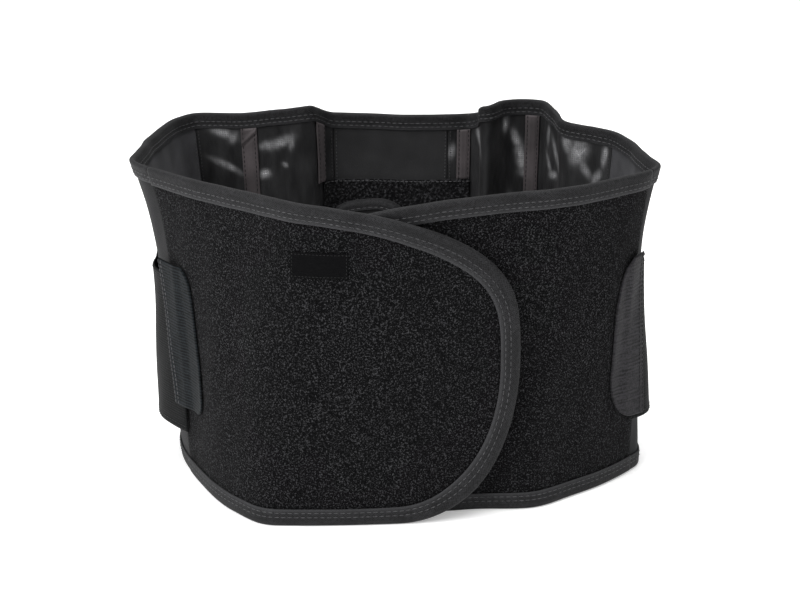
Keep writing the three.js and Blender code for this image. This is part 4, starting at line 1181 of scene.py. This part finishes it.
channel_foot = EDGE + BACK_TAPE_WIDTH + CLEARANCE
inner_channel_foot = PATCH_TOP + CLEARANCE
stay_channel("left_channel", section_place("left_channel"), channel_foot, creased=True)
stay_channel("left_inner_channel", centre_left - INNER_CHANNEL_LEFT, inner_channel_foot)
stay_channel("right_inner_channel", centre_right + INNER_CHANNEL_RIGHT, inner_channel_foot)
stay_channel("right_channel", section_place("right_channel"), channel_foot)

# The loop cloth patch and the lumbar pad on it.
patch_from = centre_left - PATCH_PAST_LEFT_SEAM
patch_to = centre_right + PATCH_PAST_RIGHT_SEAM


def loop_patch():
    """The loop cloth on the inside of the back, sewn down along its upper edge."""
    obj = cloth_sheet(
        "back_patch_cloth", patch_from, patch_to, PATCH_FOOT, PATCH_TOP, PATCH_FACE, PATCH_CLOTH, on_belt,
    )
    placed(obj, PATCH_PILE, "back_loop_patch")
    declared(obj)
    places = grid_places(patch_from + 1, patch_to - 1, 3)
    row = on_belt(places, PATCH_TOP - 1.2, PATCH_FACE - PATCH_CLOTH - SOFT_STITCH_RISE)
    sewn("back_patch_stitches", [row], GREY_THREAD, "loop_cloth", pitch=3.2, length=2.6)


loop_patch()

pad_place = section_place("back_centre") + PAD_PLACE
pad_height = PAD_TOP - PAD_HEIGHT / 2


def pad_outline(angles):
    """Places and heights round the pad, a rounded rectangle that leans a little."""
    across = np.cos(angles)
    up = np.sin(angles)
    across = PAD_WIDTH / 2 * np.sign(across) * np.abs(across) ** (2 / PAD_POWER)
    up = PAD_HEIGHT / 2 * np.sign(up) * np.abs(up) ** (2 / PAD_POWER)
    turn = math.radians(PAD_TILT)
    places = pad_place + across * math.cos(turn) - up * math.sin(turn)
    heights = pad_height + across * math.sin(turn) + up * math.cos(turn)
    return places, heights


def pad_grid(count):
    """A square grid laid on the pad: each point's share of the way out, its place and its height."""
    side = np.linspace(-1, 1, count)
    across, up = np.meshgrid(side, side, indexing="ij")
    size = np.maximum(np.abs(across), np.abs(up))
    places, heights = pad_outline(np.arctan2(up, across))
    return size, lerp(pad_place, places, size), lerp(pad_height, heights, size)


def pad_cushion(count=43):
    """The pad before it swells, thin along its bound edge, and the points of it that are held."""
    size, places, heights = pad_grid(count)
    full = smooth((PAD_FULL_TO - size) / PAD_THINS_OVER)
    thick = lerp(PAD_EDGE - 0.4, PAD_THICKNESS - PAD_CAP, full)
    sides = [on_belt(places, heights, PAD_BACK - thick), on_belt(places, heights, PAD_BACK)]
    obj = two_sided("lumbar_pad_cushion", places, heights, sides)
    held = np.concatenate([np.flatnonzero(size.ravel() > PAD_HELD), size.size + np.arange(size.size)])
    return obj, held


def swell_pad(obj, held):
    """Blows the cushion up as cloth with its back and its bound edge held, by PAD_CAP at most."""
    group = obj.vertex_groups.new(name="held")
    group.add([int(i) for i in held], 1.0, "REPLACE")
    cloth = obj.modifiers.new("swell", "CLOTH")
    cloth.settings.vertex_group_mass = "held"
    cloth.settings.use_pressure = True
    cloth.settings.uniform_pressure_force = SWELL_PRESSURE
    cloth.settings.effector_weights.gravity = 0.0
    cloth.collision_settings.use_collision = False
    scene = bpy.context.scene
    for frame_number in range(1, SWELL_FRAMES + 1):
        scene.frame_set(frame_number)
    blown = obj.evaluated_get(bpy.context.evaluated_depsgraph_get()).data
    before = np.array([tuple(v.co) for v in obj.data.vertices])
    after = np.array([tuple(v.co) for v in blown.vertices])
    obj.modifiers.remove(cloth)
    obj.vertex_groups.remove(group)
    scene.frame_set(1)
    moved = after - before
    length = np.linalg.norm(moved, axis=1, keepdims=True)
    cap = PAD_CAP * MM
    moved *= cap * np.tanh(length / cap) / np.maximum(length, 1e-9)
    obj.data.vertices.foreach_set("co", (before + moved).ravel())
    obj.data.update()


def lumbar_pad():
    """The cushion, its binding and the stitches that hold it."""
    obj, held = pad_cushion()
    swell_pad(obj, held)
    round_off = obj.modifiers.new("rounding", "SUBSURF")
    round_off.levels = 1
    round_off.render_levels = 1
    placed(obj, PAD_CLOTH, "lumbar_pad")
    angles = np.linspace(0, 2 * math.pi, 120, endpoint=False)
    places, heights = pad_outline(angles)
    track, ahead = tape_path(places, heights, closed=True)
    section = tape_section(PAD_EDGE, PAD_TAPE_WIDTH)
    section[:, 1] += PAD_BACK - PAD_EDGE / 2
    tape = swept("lumbar_pad_edge_tape", track, ahead, section, on_belt, closed=True)
    placed(tape, TAPE, "lumbar_pad_binding")
    declared(tape)
    out = PAD_BACK - PAD_EDGE - CLEARANCE - TAPE_CLOTH - PAD_STITCH_RISE
    row = row_on(on_belt, track, ahead, -PAD_TAPE_WIDTH + 1.6, out)
    sewn("lumbar_pad_stitches", [np.concatenate([row, row[:1]])], GREY_THREAD, "binding_tape")


lumbar_pad()


# Side pulls.
def pull(name, front, seam, corner, anchor, sizes, tab_material, tab_thread):
    """A band and its tab. front is the direction in which distances run towards the wing, 1 or -1."""
    tab_rear = seam - front * sizes["rear"]
    band_end = tab_rear + front * TAB_SEAM

    def stand_off(places, heights):
        low = 1 - np.clip((heights - sizes["foot"]) / BAND_HEIGHT, 0, 1)
        ahead = (places - corner) * front
        run = np.where(ahead > 0, (band_end - corner) * front + TAB_RAMP, -BAND_SETTLE)
        return (sizes["lift"] + sizes["stand_off"] * low) * (1 - smooth(ahead / run))

    def band_surface(places, heights, out):
        return on_band(places, heights, out + stand_off(places, heights))

    band_out = WING_FACE + BAND_CLOTH
    start, end = sorted((band_end, anchor))
    foot, head = sizes["foot"], sizes["foot"] + BAND_HEIGHT
    band = cloth_sheet(name + "_band", start, end, foot, head, band_out, BAND_CLOTH, band_surface, step=3)
    placed(band, ELASTIC, name)
    declared(band)

    def tab_step(places):
        past = (places - band_end) * front - TAB_LEAD
        return (BAND_CLOTH + CLEARANCE) * (1 - smooth(past / TAB_RAMP))

    def tab_surface(places, heights, out):
        up = (heights - sizes["tab_foot"]) / sizes["tab_height"] - 0.5
        leaning = places - front * sizes["lean"] * up
        return band_surface(leaning, heights, out + tab_step(leaning))

    def corner_height(places, rise):
        into = (places - tab_rear) * front - (sizes["length"] - sizes["round"])
        return rise * (1 - np.sqrt(1 - np.clip(into / sizes["round"], 0, 0.999) ** 2))

    tab_low = sizes["tab_foot"]
    tab_high = tab_low + sizes["tab_height"]
    tab_out = WING_FACE + TAB_EASE + TAB_CLOTH
    tab_end = tab_rear + front * sizes["length"]
    tab = cloth_sheet(
        name + "_hook_tab", tab_rear, tab_end,
        lambda places: tab_low + corner_height(places, sizes["lower_round"]),
        lambda places: tab_high - corner_height(places, sizes["upper_round"]),
        tab_out, TAB_CLOTH, tab_surface, step=1.2,
    )
    placed(tab, tab_material, name + "_tab")
    declared(tab)

    upright = grid_places(tab_low + 2, tab_high - 2, 3)
    tab_rows = [tab_surface(tab_rear + front * ahead, upright, tab_out + STITCH_RISE) for ahead in TAB_ROWS]
    sewn(name + "_tab_stitches", tab_rows, tab_thread, "hook_tab", pitch=3.2, length=2.4, thread=0.42)
    hem_heights = [foot + up for up in HEM_ROWS] + [head - HEM_TOP_ROW]
    lengthwise = grid_places(start + 2, end - 2, 3)
    band_rows = [band_surface(lengthwise, height, band_out + STITCH_RISE) for height in hem_heights]
    upright = grid_places(foot + 3, head - 3, 3)
    for ahead in ANCHOR_ROWS:
        band_rows.append(band_surface(anchor + front * ahead, upright, band_out + STITCH_RISE))
    sewn(name + "_hem_stitches", band_rows, DARK_THREAD, "elastic", pitch=3.6, length=2.6)


pull("left_strap", -1, left_seam, section_place("left_corner"), centre_left, LEFT_PULL, LEFT_TAB, GREY_THREAD)
pull("right_strap", 1, right_seam, section_place("right_corner"), centre_right, RIGHT_PULL, RIGHT_TAB,
     DARK_THREAD)


def woven_badge():
    """The bare label, sewn down along its edge."""
    start, end = LABEL_PLACE - LABEL_WIDTH / 2, LABEL_PLACE + LABEL_WIDTH / 2
    head = LABEL_FOOT + LABEL_HEIGHT
    out = WING_FACE + LABEL_CLOTH
    obj = cloth_sheet("label_cloth", start, end, LABEL_FOOT, head, out, LABEL_CLOTH, on_belt, step=1.5)
    placed(obj, LABEL_SATIN, "label")
    declared(obj)
    left, right = start + LABEL_ROW, end - LABEL_ROW
    low, high = LABEL_FOOT + LABEL_ROW, head - LABEL_ROW
    corners = [(left, low), (right, low), (right, high), (left, high)]
    share = np.linspace(0, 1, 12)
    rows = []
    for (x0, z0), (x1, z1) in zip(corners, corners[1:] + corners[:1]):
        rows.append(on_belt(lerp(x0, x1, share), lerp(z0, z1, share), out + SOFT_STITCH_RISE))
    sewn("label_stitches", rows, DARK_THREAD, "label_cloth", pitch=2.2, length=1.6, thread=0.18)


woven_badge()


# Floor, light and camera.
def studio():
    """White paper under the part, white surroundings and the lamps."""
    corners = [(x * FLOOR_REACH, y * FLOOR_REACH, 0) for x, y in ((-1, -1), (1, -1), (1, 1), (-1, 1))]
    mesh = bpy.data.meshes.new("studio_floor")
    mesh.from_pydata(corners, [], [(0, 1, 2, 3)])
    floor = new_object("studio_floor", mesh)
    floor.data.materials.append(PAPER)
    world = bpy.data.worlds.new("studio_world")
    bpy.context.scene.world = world
    world.use_nodes = True
    tree = world.node_tree
    seen = add(tree, "ShaderNodeLightPath")
    strength = add(tree, "ShaderNodeMix", {0: seen.outputs["Is Camera Ray"], 2: AMBIENT, 3: 1.0},
                   data_type="FLOAT")
    background = tree.nodes["Background"]
    background.inputs["Color"].default_value = (1, 1, 1, 1)
    tree.links.new(strength.outputs[0], background.inputs["Strength"])
    for name, place, size, power in LAMPS:
        area_light(name, place, size, power)


def area_light(name, place, size, power):
    light = bpy.data.lights.new(name, "AREA")
    light.size = size
    light.energy = power
    obj = bpy.data.objects.new(name, light)
    obj.location = place
    aim(obj, LIT_POINT)
    bpy.context.scene.collection.objects.link(obj)


def aim(obj, target):
    """Turns a lamp or camera to a point."""
    direction = Vector(target) - obj.location
    obj.rotation_euler = direction.to_track_quat("-Z", "Y").to_euler()


def camera():
    """The photograph's view, from in front and above."""
    data = bpy.data.cameras.new("camera")
    data.lens = VIEW_LENS
    data.sensor_width = VIEW_SENSOR
    obj = bpy.data.objects.new("camera", data)
    pitch = math.radians(VIEW_PITCH)
    x, y, z = VIEW_CENTRE
    obj.location = (x, y - VIEW_DISTANCE * math.cos(pitch), z + VIEW_DISTANCE * math.sin(pitch))
    aim(obj, VIEW_CENTRE)
    bpy.context.scene.collection.objects.link(obj)
    bpy.context.scene.camera = obj


studio()
camera()

scene = bpy.context.scene
scene.view_settings.view_transform = "Standard"
